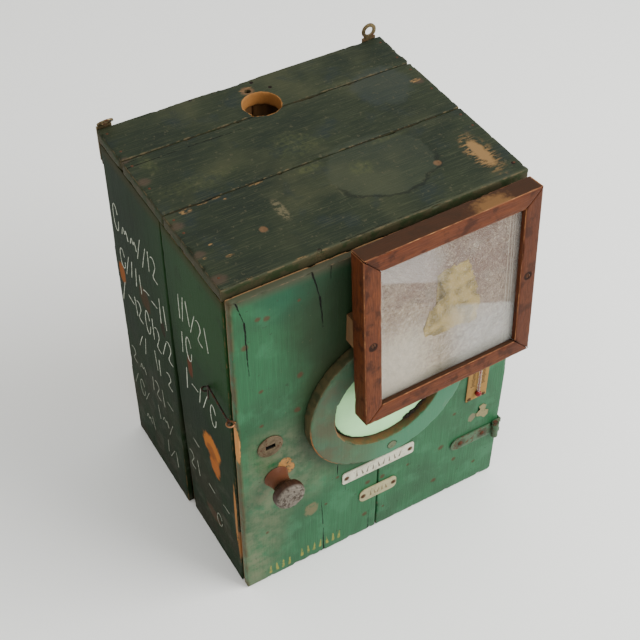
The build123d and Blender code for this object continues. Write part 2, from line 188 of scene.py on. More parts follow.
def calc(tree, operation, *values):
    """One step of arithmetic."""
    made = put(tree, "ShaderNodeMath", operation=operation)
    for socket, value in zip(made.inputs, values):
        feed(tree, socket, value)
    return made.outputs[0]


def vector_calc(tree, operation, *values):
    """One step of vector arithmetic."""
    made = put(tree, "ShaderNodeVectorMath", operation=operation)
    sockets = [made.inputs[0], made.inputs["Scale"]] if operation == "SCALE" else made.inputs
    for socket, value in zip(sockets, values):
        feed(tree, socket, value)
    return made.outputs["Value" if operation in {"LENGTH", "DOT_PRODUCT", "DISTANCE"} else "Vector"]


def fade(tree, value, low, high):
    """0 at low and 1 at high, smooth between them."""
    made = put(tree, "ShaderNodeMapRange", {"Value": value, "From Min": low, "From Max": high},
               interpolation_type="SMOOTHSTEP")
    return made.outputs[0]


def cloud(tree, place, size, detail=3.0, roughness=0.55, distortion=0.0, colour=False):
    """Soft random values about 0.5; size is the width of a blotch in the units of place."""
    scale = 1.0 / size if not isinstance(size, bpy.types.NodeSocket) else calc(tree, "DIVIDE", 1.0, size)
    made = put(tree, "ShaderNodeTexNoise", {"Vector": place, "Scale": scale, "Detail": detail,
                                            "Roughness": roughness, "Distortion": distortion})
    return made.outputs["Color" if colour else "Fac"]


def blend_colour(tree, mask, below, above):
    """One colour over another where the mask is 1."""
    made = put(tree, "ShaderNodeMix", data_type="RGBA")
    for index, value in ((0, mask), (6, below), (7, above)):
        feed(tree, made.inputs[index], value)
    return made.outputs[2]


def blend_value(tree, mask, below, above):
    """One number over another where the mask is 1."""
    made = put(tree, "ShaderNodeMix", data_type="FLOAT")
    for index, value in ((0, mask), (2, below), (3, above)):
        feed(tree, made.inputs[index], value)
    return made.outputs[0]


def new_effect(name, inputs, outputs):
    """An empty shader node group with named sockets: the tree, its inputs and its output node."""
    tree = bpy.data.node_groups.new(name, "ShaderNodeTree")
    for label, kind in inputs:
        tree.interface.new_socket(label, in_out="INPUT", socket_type="NodeSocket" + kind)
    for label in outputs:
        tree.interface.new_socket(label, in_out="OUTPUT", socket_type="NodeSocketFloat")
    return tree, tree.nodes.new("NodeGroupInput").outputs, tree.nodes.new("NodeGroupOutput").inputs


# ---- shared shader effects --------------------------------------------------------
def grain_effect():
    """Fibres and growth figure of sawn wood, running along Z."""
    tree, given, result = new_effect("sawn grain", [("Place", "Vector"), ("Width", "Float")],
                                     ["Fibre", "Figure"])
    across = vector_calc(tree, "DIVIDE", given["Place"], (1.0, 1.0, 30.0))
    fibre = cloud(tree, across, given["Width"], 5.0, 0.65)
    tree.links.new(fade(tree, fibre, 0.3, 0.72), result["Fibre"])
    slow = vector_calc(tree, "DIVIDE", given["Place"], (1.0, 1.0, 9.0))
    figure = cloud(tree, slow, calc(tree, "MULTIPLY", given["Width"], 22.0), 1.5, 0.5, 0.6)
    rings = calc(tree, "SINE", calc(tree, "MULTIPLY", figure, 70.0))
    tree.links.new(calc(tree, "MULTIPLY_ADD", rings, 0.5, 0.5), result["Figure"])
    return tree


def spot_effect():
    """A ragged round or oval mark."""
    sockets = [("Place", "Vector"), ("Centre", "Vector"), ("Reach", "Vector"), ("Ragged", "Float"),
               ("Soft", "Float"), ("Tear", "Float")]
    tree, given, result = new_effect("spot", sockets, ["Mask"])
    away = vector_calc(tree, "SUBTRACT", given["Place"], given["Centre"])
    away = vector_calc(tree, "LENGTH", vector_calc(tree, "DIVIDE", away, given["Reach"]))
    torn = calc(tree, "SUBTRACT", cloud(tree, given["Place"], given["Tear"], 4.0, 0.65), 0.5)
    edge = calc(tree, "MULTIPLY_ADD", torn, given["Ragged"], away)
    inner = calc(tree, "SUBTRACT", 1.0, given["Soft"])
    outer = calc(tree, "ADD", 1.0, given["Soft"])
    tree.links.new(fade(tree, edge, outer, inner), result["Mask"])
    return tree


def line_effect():
    """A crack or scratch from one point to another, thinner towards its end."""
    sockets = [("Place", "Vector"), ("Start", "Vector"), ("End", "Vector"), ("Width", "Float"),
               ("Wander", "Float")]
    tree, given, result = new_effect("line", sockets, ["Mask"])
    drift = vector_calc(tree, "SUBTRACT", cloud(tree, given["Place"], 9.0, 3.0, 0.6, colour=True),
                        (0.5, 0.5, 0.5))
    place = vector_calc(tree, "ADD", given["Place"], vector_calc(tree, "SCALE", drift, given["Wander"]))
    run = vector_calc(tree, "SUBTRACT", given["End"], given["Start"])
    offset = vector_calc(tree, "SUBTRACT", place, given["Start"])
    along = calc(tree, "DIVIDE", vector_calc(tree, "DOT_PRODUCT", offset, run),
                 vector_calc(tree, "DOT_PRODUCT", run, run))
    along = put(tree, "ShaderNodeClamp", {"Value": along}).outputs[0]
    away = vector_calc(tree, "DISTANCE", offset, vector_calc(tree, "SCALE", run, along))
    half = calc(tree, "MULTIPLY", given["Width"], calc(tree, "MULTIPLY_ADD", along, -0.35, 0.5))
    tree.links.new(fade(tree, away, calc(tree, "MULTIPLY", half, 1.4), calc(tree, "MULTIPLY", half, 0.5)),
                   result["Mask"])
    return tree


def flake_effect():
    """Scattered flakes and speckles; a higher level leaves fewer."""
    sockets = [("Place", "Vector"), ("Size", "Float"), ("Level", "Float"), ("Soft", "Float")]
    tree, given, result = new_effect("flakes", sockets, ["Mask"])
    value = cloud(tree, given["Place"], given["Size"], 7.0, 0.68)
    tree.links.new(fade(tree, value, given["Level"], calc(tree, "ADD", given["Level"], given["Soft"])),
                   result["Mask"])
    return tree


def arris_effect():
    """Wear along the arrises, broken up by a cloud; a higher level leaves less."""
    sockets = [("Place", "Vector"), ("Level", "Float"), ("Ragged", "Float"), ("Size", "Float")]
    tree, given, result = new_effect("arris wear", sockets, ["Mask"])
    near = put(tree, "ShaderNodeAttribute", attribute_name=ARRIS).outputs["Fac"]
    torn = calc(tree, "SUBTRACT", cloud(tree, given["Place"], given["Size"], 5.0, 0.65), 0.5)
    edge = calc(tree, "MULTIPLY_ADD", torn, given["Ragged"], near)
    tree.links.new(fade(tree, edge, given["Level"], calc(tree, "ADD", given["Level"], 0.12)), result["Mask"])
    return tree


EFFECTS = {
    "sawn grain": grain_effect,
    "spot": spot_effect,
    "line": line_effect,
    "flakes": flake_effect,
    "arris wear": arris_effect,
}


class Finish:
    """A material in layers: each layer covers what is under it where its mask is 1."""

    def __init__(self, name, colour, rough=0.6, grain="Z"):
        self.material = bpy.data.materials.new(name)
        self.material.use_nodes = True
        self.tree = self.material.node_tree
        self.shader = self.tree.nodes["Principled BSDF"]
        coords = put(self.tree, "ShaderNodeTexCoord").outputs["Object"]
        self.place = vector_calc(self.tree, "SCALE", coords, 1.0 / MM)
        parts = put(self.tree, "ShaderNodeSeparateXYZ", {"Vector": self.place}).outputs
        self.x, self.y, self.z = parts[0], parts[1], parts[2]
        normal = put(self.tree, "ShaderNodeNewGeometry").outputs["Normal"]
        self.up = put(self.tree, "ShaderNodeSeparateXYZ", {"Vector": normal}).outputs[2]
        order = {"X": (self.y, self.z, self.x), "Y": (self.z, self.x, self.y),
                 "Z": (self.x, self.y, self.z)}[grain]
        turned = put(self.tree, "ShaderNodeCombineXYZ", dict(zip("XYZ", order)))
        self.along = turned.outputs[0]
        self.colour = colour
        self.rough = rough
        self.height = 0.0

    def effect(self, name, **inputs):
        """Place a shared effect and give back its outputs."""
        tree = bpy.data.node_groups.get(name) or EFFECTS[name]()
        made = put(self.tree, "ShaderNodeGroup", node_tree=tree)
        inputs.setdefault("Place", self.place)
        for key, value in inputs.items():
            feed(self.tree, made.inputs[key], value)
        return made.outputs

    def math(self, operation, *values):
        return calc(self.tree, operation, *values)

    def fade(self, value, low, high):
        return fade(self.tree, value, low, high)

    def cloud(self, size, detail=3.0, roughness=0.55, place=None):
        return cloud(self.tree, place or self.place, size, detail, roughness)

    def blotch(self, low, high, *shape):
        """Soft blotches: a cloud faded between two levels."""
        return self.fade(self.cloud(*shape), low, high)

    def both(self, first, second):
        """Where two masks meet, or a share of one mask."""
        return self.math("MULTIPLY", first, second)

    def patchy(self, mask, size, low, high):
        """The mask broken up by a cloud."""
        return self.both(mask, self.blotch(low, high, size, 5.0, 0.65))

    def offset(self, point):
        """Millimetres from a point of the frame in metres: across, back and up."""
        local = vector_calc(self.tree, "SUBTRACT", self.place, tuple(point / MM))
        return put(self.tree, "ShaderNodeSeparateXYZ", {"Vector": local}).outputs

    def distance(self, point, keep=(1.0, 0.0, 1.0)):
        """Distance from a line through a point in millimetres; keep is 0 along the line."""
        away = vector_calc(self.tree, "SUBTRACT", self.place, tuple(point))
        return vector_calc(self.tree, "LENGTH", vector_calc(self.tree, "MULTIPLY", away, keep))

    def spot(self, x, z, reach, y=None, ragged=0.8, soft=0.15, tear=6.0):
        """A mark on a face: reach holds radii for x and z, or for x, y and z when y is given."""
        if y is None:
            centre, size = (x, 0.0, z), (reach[0], FAR, reach[1])
        else:
            centre, size = (x, y, z), reach
        return self.effect("spot", Centre=centre, Reach=size, Ragged=ragged, Soft=soft, Tear=tear)["Mask"]

    def line(self, start, end, width, wander=2.0):
        """A line between two points, in millimetres."""
        return self.effect("line", Start=start, End=end, Width=width, Wander=wander)["Mask"]

    def flakes(self, size, level, soft=0.05):
        """Scattered flakes; a higher level leaves fewer."""
        return self.effect("flakes", Size=size, Level=level, Soft=soft)["Mask"]

    def worn_arris(self, level=0.62, ragged=1.0, size=7.0):
        """Wear along the arrises; a higher level leaves less."""
        return self.effect("arris wear", Level=level, Ragged=ragged, Size=size)["Mask"]

    def grain(self, width=1.6):
        """Fibres and growth figure along the grain."""
        made = self.effect("sawn grain", Place=self.along, Width=width)
        return made["Fibre"], made["Figure"]

    def either(self, *masks):
        """The strongest of several masks."""
        total = masks[0]
        for mask in masks[1:]:
            total = self.math("MAXIMUM", total, mask)
        return total

    def layer(self, mask, share, colour=None, rough=None, lift=0.0):
        """Cover a share of what is below: colour, roughness and a change of height in millimetres."""
        if share != 1.0:
            mask = self.both(mask, share)
        if colour is not None:
            self.colour = blend_colour(self.tree, mask, self.colour, colour)
        if rough is not None:
            self.rough = blend_value(self.tree, mask, self.rough, rough)
        if lift:
            self.height = self.math("MULTIPLY_ADD", mask, lift, self.height)

    def close(self, tone=AGED, **values):
        """Plug the layers into the shader, toned down with age, and give back the material."""
        if isinstance(self.colour, bpy.types.NodeSocket):
            toned = vector_calc(self.tree, "SCALE", self.colour, tone)
        else:
            toned = tuple(tone * part for part in self.colour)
        feed(self.tree, self.shader.inputs["Base Color"], toned)
        feed(self.tree, self.shader.inputs["Roughness"], self.rough)
        if isinstance(self.height, bpy.types.NodeSocket):
            bump = put(self.tree, "ShaderNodeBump", {"Strength": 1.0, "Distance": MM, "Height": self.height})
            self.tree.links.new(bump.outputs[0], self.shader.inputs["Normal"])
        for key, value in {"Specular_IOR_Level": 0.16, **values}.items():
            feed(self.tree, self.shader.inputs[key.replace("_", " ")], value)
        return self.material


# ---- mesh helpers --------------------------------------------------------------
def link_piece(name, mesh):
    """Put a mesh in the scene as an object at the origin."""
    piece = bpy.data.objects.new(name, mesh)
    bpy.context.scene.collection.objects.link(piece)
    return piece


def settle(piece):
    """Turn the piece's modifiers into plain mesh and remove them."""
    graph = bpy.context.evaluated_depsgraph_get()
    made = bpy.data.meshes.new_from_object(piece.evaluated_get(graph), preserve_all_data_layers=True,
                                           depsgraph=graph)
    piece.modifiers.clear()
    piece.data = made
    return piece


def add_tree(piece, name, **values):
    """Put a geometry tree on the piece with its named inputs set."""
    tree = bpy.data.node_groups.get(name) or TREES[name]()
    modifier = piece.modifiers.new(name, "NODES")
    modifier.node_group = tree
    for item in tree.interface.items_tree:
        key = item.name.replace(" ", "_")
        if item.in_out == "INPUT" and key in values:
            modifier[item.identifier] = values[key]


def use_tree(piece, name, **values):
    """Run a geometry tree on the piece, then settle it."""
    add_tree(piece, name, **values)
    return settle(piece)


def dress(piece, material, body, slot, replaced=(), smooth=True):
    """Give a finished piece its material and its body, and hide the nodes it stands for; slot is not used."""
    piece.data.materials.clear()
    piece.data.materials.append(material)
    if smooth:
        piece.data.shade_smooth()
    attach(piece, body)
    if replaced:
        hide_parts(*replaced)
    return piece


def finish_nodes(material, *names):
    """Give CAD nodes that keep their own shape a better material."""
    for name in names:
        NODES[name].data.materials.clear()
        NODES[name].data.materials.append(material)


@contextmanager
def form_of(mesh):
    """A form to edit, written back to its mesh at the end."""
    form = bmesh.new()
    form.from_mesh(mesh)
    yield form
    form.to_mesh(mesh)
    form.free()


def merged_copy(name, label):
    """A closed, connected copy of a CAD node's mesh."""
    mesh = NODES[name].data.copy()
    with form_of(mesh) as form:
        bmesh.ops.remove_doubles(form, verts=form.verts, dist=SAME_POINT)
    mesh.name = label
    return link_piece(label, mesh)


def crisp_copy(name, label, bevel):
    """A copy of a metal part with its sharp edges rounded over."""
    piece = merged_copy(name, label)
    with form_of(piece.data) as form:
        bmesh.ops.dissolve_limit(form, angle_limit=math.radians(0.4), verts=form.verts, edges=form.edges)
    rounding = piece.modifiers.new("rounding", "BEVEL")
    rounding.width = bevel
    rounding.segments = 3
    rounding.limit_method = "ANGLE"
    rounding.angle_limit = math.radians(40)
    rounding.use_clamp_overlap = True
    settle(piece)
    piece.data.shade_smooth()
    with form_of(piece.data) as form:
        for edge in form.edges:
            edge.smooth = len(edge.link_faces) == 2 and edge.calc_face_angle(0.0) < math.radians(35)
    return piece


def linked_form(form, label):
    """Turn a built form into a linked piece with its faces outward."""
    bmesh.ops.recalc_face_normals(form, faces=form.faces)
    mesh = bpy.data.meshes.new(label)
    form.to_mesh(mesh)
    form.free()
    return link_piece(label, mesh)


def join_rings(form, rings, close_at):
    """Faces between closed rows of points; points nearer than close_at become one."""
    for lower, upper in zip(rings, rings[1:]):
        for step in range(len(lower)):
            following = (step + 1) % len(lower)
            form.faces.new((lower[step], lower[following], upper[following], upper[step]))
    bmesh.ops.remove_doubles(form, verts=form.verts, dist=close_at)


def crisp_part(name, label, bevel, material, body, slot):
    """A metal part with eased edges that stands for a CAD node."""
    return dress(crisp_copy(name, label, bevel), material, body, slot, [name], smooth=False)


def read_points(mesh):
    """The places of all points, one row each."""
    points = np.empty(len(mesh.vertices) * 3)
    mesh.vertices.foreach_get("co", points)
    return points.reshape(-1, 3)


def mark_arrises(mesh, gaps, reach):
    """Store 1 on an arris, falling to 0 inside a face; gaps holds distances to the faces."""
    gaps = np.sort(np.abs(gaps), axis=1)
    layer = mesh.attributes.new(ARRIS, "FLOAT", "POINT")
    layer.data.foreach_set("value", np.exp(-gaps[:, 1] / reach).astype(np.float32))


def box_gaps(points):
    """Distances from each point to the nearer face of its box along x, y and z."""
    low, high = points.min(0), points.max(0)
    return np.minimum(points - low, high - points)


# ---- geometry trees -------------------------------------------------------------
def new_geometry_tree(name, inputs):
    """An empty geometry tree with named inputs: the tree, its inputs and its output."""
    tree = bpy.data.node_groups.new(name, "GeometryNodeTree")
    tree.interface.new_socket("Geometry", in_out="INPUT", socket_type="NodeSocketGeometry")
    for label, kind in inputs:
        tree.interface.new_socket(label, in_out="INPUT", socket_type="NodeSocket" + kind)
    tree.interface.new_socket("Geometry", in_out="OUTPUT", socket_type="NodeSocketGeometry")
    return tree, tree.nodes.new("NodeGroupInput").outputs, tree.nodes.new("NodeGroupOutput").inputs[0]


def end_tree(tree, geometry, material, result):
    """Every tree ends in Realize Instances and Set Material."""
    real = put(tree, "GeometryNodeRealizeInstances", {"Geometry": geometry}).outputs[0]
    painted = put(tree, "GeometryNodeSetMaterial", {"Geometry": real, "Material": material}).outputs[0]
    tree.links.new(painted, result)
    return tree


def worn_wood_tree():
    """Rounds arrises, breaks chips out of them and makes the faces slightly uneven."""
    sockets = [("Round", "Float"), ("Chip Depth", "Float"), ("Chip Length", "Float"), ("Swell", "Float"),
               ("Stretch", "Vector"), ("Seed", "Float"), ("Material", "Material")]
    tree, given, result = new_geometry_tree("worn wood", sockets)
    near = put(tree, "GeometryNodeInputNamedAttribute", {"Name": ARRIS}, data_type="FLOAT").outputs[0]
    place = put(tree, "GeometryNodeInputPosition").outputs[0]
    place = vector_calc(tree, "MULTIPLY", place, given["Stretch"])
    seeded = put(tree, "ShaderNodeCombineXYZ", {"X": given["Seed"], "Y": given["Seed"]}).outputs[0]
    place = vector_calc(tree, "ADD", place, seeded)
    chips = fade(tree, cloud(tree, place, given["Chip Length"], 4.0, 0.6), 0.52, 0.66)
    chips = calc(tree, "MULTIPLY", chips, fade(tree, near, 0.12, 0.6))
    depth = calc(tree, "MULTIPLY", chips, given["Chip Depth"])
    fine = calc(tree, "MULTIPLY", cloud(tree, place, calc(tree, "DIVIDE", given["Chip Length"], 4.0), 3.0),
                near)
    depth = calc(tree, "MULTIPLY_ADD", fine, calc(tree, "MULTIPLY", given["Chip Depth"], 0.35), depth)
    depth = calc(tree, "MULTIPLY_ADD", calc(tree, "POWER", near, 2.0), given["Round"], depth)
    uneven = cloud(tree, place, calc(tree, "MULTIPLY", given["Chip Length"], 4.0), 2.0)
    depth = calc(tree, "MULTIPLY_ADD", uneven, given["Swell"], depth)
    normal = put(tree, "GeometryNodeInputNormal").outputs[0]
    inward = vector_calc(tree, "SCALE", normal, calc(tree, "MULTIPLY", depth, -1.0))
    moved = put(tree, "GeometryNodeSetPosition", {"Geometry": given["Geometry"], "Offset": inward}).outputs[0]
    return end_tree(tree, moved, given["Material"], result)


def heads_tree():
    """Sets one head on every point, facing along the point's own direction, turned at random."""
    sockets = [("Head", "Object"), ("Seed", "Int"), ("Material", "Material")]
    tree, given, result = new_geometry_tree("set heads", sockets)
    facing = put(tree, "GeometryNodeInputNamedAttribute", {"Name": "facing"},
                 data_type="FLOAT_VECTOR").outputs[0]
    size = put(tree, "GeometryNodeInputNamedAttribute", {"Name": "size"}, data_type="FLOAT").outputs[0]
    spin = put(tree, "FunctionNodeRandomValue", {"Seed": given["Seed"]}, data_type="FLOAT_VECTOR")
    feed(tree, spin.inputs[0], (0.0, 0.0, 0.0))
    feed(tree, spin.inputs[1], (0.0, 0.0, math.tau))
    twist = put(tree, "FunctionNodeEulerToRotation", {"Euler": spin.outputs[0]}).outputs[0]
    turn = put(tree, "FunctionNodeAlignRotationToVector", {"Rotation": twist, "Vector": facing}, axis="Z")
    head = put(tree, "GeometryNodeObjectInfo", {"Object": given["Head"]}).outputs["Geometry"]
    placed = put(tree, "GeometryNodeInstanceOnPoints", {"Points": given["Geometry"], "Instance": head,
                                                        "Rotation": turn.outputs[0], "Scale": size})
    return end_tree(tree, placed.outputs[0], given["Material"], result)


def chalk_tree():
    """Broken chalk strokes along curves."""
    sockets = [("Thickness", "Float"), ("Patch", "Float"), ("Material", "Material")]
    tree, given, result = new_geometry_tree("chalk strokes", sockets)
    fine = put(tree, "GeometryNodeResampleCurve", {"Curve": given["Geometry"]}, mode="LENGTH")
    fine.inputs["Length"].default_value = 1.2 * MM
    place = put(tree, "GeometryNodeInputPosition").outputs[0]
    press = fade(tree, cloud(tree, place, given["Patch"], 4.0, 0.7), 0.36, 0.62)
    radius = calc(tree, "MULTIPLY_ADD", press, 0.4, 0.6)
    thick = put(tree, "GeometryNodeSetCurveRadius", {"Curve": fine.outputs[0], "Radius": radius}).outputs[0]
    section = put(tree, "GeometryNodeCurvePrimitiveCircle", {"Resolution": 6, "Radius": given["Thickness"]})
    drawn = put(tree, "GeometryNodeCurveToMesh", {"Curve": thick, "Profile Curve": section.outputs[0],
                                                  "Fill Caps": True})
    feed(tree, drawn.inputs["Scale"], radius)
    return end_tree(tree, drawn.outputs[0], given["Material"], result)


def crumbs_tree():
    """Lumps of old putty along an arc that faces -Y."""
    sockets = [("Middle", "Vector"), ("Radius", "Float"), ("Start", "Float"), ("Sweep", "Float"),
               ("Count", "Int"), ("Lump", "Float"), ("Seed", "Int"), ("Material", "Material")]
    tree, given, result = new_geometry_tree("putty crumbs", sockets)
    arc = put(tree, "GeometryNodeCurveArc", {"Resolution": given["Count"], "Radius": given["Radius"],
                                             "Start Angle": given["Start"], "Sweep Angle": given["Sweep"]})
    points = put(tree, "GeometryNodeCurveToPoints", {"Curve": arc.outputs[0], "Count": given["Count"]},
                 mode="COUNT")
    spread = put(tree, "FunctionNodeRandomValue", {"Seed": given["Seed"]}, data_type="FLOAT_VECTOR")
    lump = given["Lump"]
    feed(tree, spread.inputs[1], put(tree, "ShaderNodeCombineXYZ",
                                     {"X": lump, "Y": lump, "Z": 0.0}).outputs[0])
    loose = put(tree, "GeometryNodeSetPosition", {"Geometry": points.outputs[0], "Offset": spread.outputs[0]})
    size = put(tree, "FunctionNodeRandomValue", {"Seed": calc(tree, "ADD", given["Seed"], 1)},
               data_type="FLOAT")
    feed(tree, size.inputs[2], 0.25)
    feed(tree, size.inputs[3], 1.0)
    ball = put(tree, "GeometryNodeMeshIcoSphere", {"Radius": lump, "Subdivisions": 2}).outputs[0]
    placed = put(tree, "GeometryNodeInstanceOnPoints", {"Points": loose.outputs[0], "Instance": ball,
                                                        "Scale": size.outputs[1]})
    real = put(tree, "GeometryNodeRealizeInstances", {"Geometry": placed.outputs[0]}).outputs[0]
    place = put(tree, "GeometryNodeInputPosition").outputs[0]
    push = vector_calc(tree, "SUBTRACT", cloud(tree, place, lump, 3.0, colour=True), (0.5, 0.5, 0.5))
    push = vector_calc(tree, "SCALE", push, calc(tree, "MULTIPLY", lump, 1.6))
    rough = put(tree, "GeometryNodeSetPosition", {"Geometry": real, "Offset": push}).outputs[0]
    upright = put(tree, "GeometryNodeTransform", {"Geometry": rough, "Translation": given["Middle"],
                                                  "Rotation": (math.radians(90), 0.0, 0.0)}).outputs[0]
    return end_tree(tree, upright, given["Material"], result)


def ticks_tree():
    """A scale of short marks going up, every fifth one longer."""
    sockets = [("Start", "Vector"), ("Step", "Float"), ("Count", "Int"), ("Length", "Float"),
               ("Width", "Float"), ("Material", "Material")]
    tree, given, result = new_geometry_tree("scale marks", sockets)
    offset = put(tree, "ShaderNodeCombineXYZ", {"Z": given["Step"]}).outputs[0]
    row = put(tree, "GeometryNodeMeshLine", {"Count": given["Count"], "Start Location": given["Start"],
                                             "Offset": offset}, mode="OFFSET").outputs[0]
    index = put(tree, "GeometryNodeInputIndex").outputs[0]
    fifth = calc(tree, "LESS_THAN", calc(tree, "MODULO", index, 5.0), 0.5)
    long = calc(tree, "MULTIPLY_ADD", fifth, 0.7, 1.0)
    stretch = put(tree, "ShaderNodeCombineXYZ", {"X": long, "Y": 1.0, "Z": 1.0}).outputs[0]
    size = put(tree, "ShaderNodeCombineXYZ", {"X": given["Length"], "Y": given["Width"], "Z": given["Width"]})
    mark = put(tree, "GeometryNodeMeshCube", {"Size": size.outputs[0]}).outputs[0]
    placed = put(tree, "GeometryNodeInstanceOnPoints", {"Points": row, "Instance": mark, "Scale": stretch})
    return end_tree(tree, placed.outputs[0], given["Material"], result)


TREES = {"worn wood": worn_wood_tree, "set heads": heads_tree, "chalk strokes": chalk_tree,
         "putty crumbs": crumbs_tree, "scale marks": ticks_tree}


def worn_wood(name, material, body, slot, grid, grain, label=None, gaps=box_gaps, turn=None, chips=1.0,
              seed=0):
    """A weathered wooden piece that stands for a CAD node; turn is the tilt it was built at."""
    piece = merged_copy(name, label or "worn_" + name)
    if turn is not None:
        piece.data.transform(turn.inverted())
    skin = piece.modifiers.new("skin", "REMESH")
    skin.mode = "VOXEL"
    skin.voxel_size = grid
    settle(piece)
    settings = wear()
    mark_arrises(piece.data, gaps(read_points(piece.data)), settings.arris_reach)
    stretch = [1.0, 1.0, 1.0]
    stretch["XYZ".index(grain)] = 0.35
    use_tree(piece, "worn wood", Round=0.0004, Chip_Depth=settings.chip_depth * chips,
             Chip_Length=settings.chip_length, Swell=settings.swell, Stretch=stretch,
             Seed=float(settings.seed + seed), Material=material)
    if turn is not None:
        piece.data.transform(turn)
    return dress(piece, material, body, slot, [name])


def lathe(label, profile, steps, middle, y_zero):
    """Turn (radius, distance forward) pairs about a line along Y and close the ends."""
    form = bmesh.new()
    rings = []
    for radius, forward in profile:
        ring = []
        for step in range(steps):
            angle = math.tau * step / steps
            ring.append(form.verts.new((middle.x + radius * math.cos(angle), y_zero - forward,
                                        middle.z + radius * math.sin(angle))))
        rings.append(ring)
    join_rings(form, rings, 1e-6)
    return linked_form(form, label)


def smooth_profile(points, between=6):
    """A finer profile through the given points (Catmull-Rom)."""
    points = [Vector(point) for point in points]
    padded = [points[0]] + points + [points[-1]]
    result = []
    for before, start, end, after in zip(padded, padded[1:], padded[2:], padded[3:]):
        for step in range(between):
            t = step / between
            bend = (2 * start + (end - before) * t + (2 * before - 5 * start + 4 * end - after) * t * t
                    + (3 * start - before - 3 * end + after) * t * t * t)
            result.append(bend / 2)
    result.append(points[-1])
    return [(max(point.x, 0.0), point.y) for point in result]


# ---- paint and wood --------------------------------------------------------------
def painted_wood(name, colour, dark, grain, rough=0.55, relief=0.16):
    """Old brushed paint over sawn boards: the ground that each painted face starts from."""
    done = Finish(name, colour, rough, grain)
    fibre, figure = done.grain(1.4)
    done.layer(done.blotch(0.42, 0.66, 70.0, 3.0), 0.65, dark)
    done.layer(done.math("SUBTRACT", 1.0, fibre), 0.5, dark, rough + 0.12, -relief)
    done.layer(figure, 0.14, dark, lift=-0.05)
    return done


def bare_inside(done, mask):
    """The side of a board that was never painted."""
    colours = paint()
    fibre, figure = done.grain(1.2)
    done.layer(mask, 1.0, colours.pine, 0.78)
    done.layer(done.both(mask, figure), 0.35, colours.old_pine)
    done.layer(done.both(mask, fibre), 0.2, colours.bright_pine)


def nail_rust(done, places, reach=3.2):
    """Rusty nail heads showing through the paint; places are (x, z) on the door."""
    colours = paint()
    for index, (x, z) in enumerate(places):
        size = reach * (0.75 + 0.25 * math.sin(index * 2.4))
        mask = done.spot(x, z, (size, size), ragged=1.1, soft=0.45, tear=3.0)
        done.layer(mask, 0.75, colours.rust, 0.75, -0.15)


def on_door(x, z):
    """A point on the door's face."""
    return x, DOOR_FACE, z


def on_top(x, y):
    """A point on the top."""
    return x, y, TOP_FACE


def crack(done, width, points, lay=on_door):
    """A drying crack along points on a face; lay gives each its place in the box's frame."""
    places = [lay(*point) for point in points]
    masks = [done.line(start, end, width) for start, end in zip(places, places[1:])]
    done.layer(done.either(*masks), 1.0, CRACK_AND_SHADE_BLACK, 0.9, -0.9)


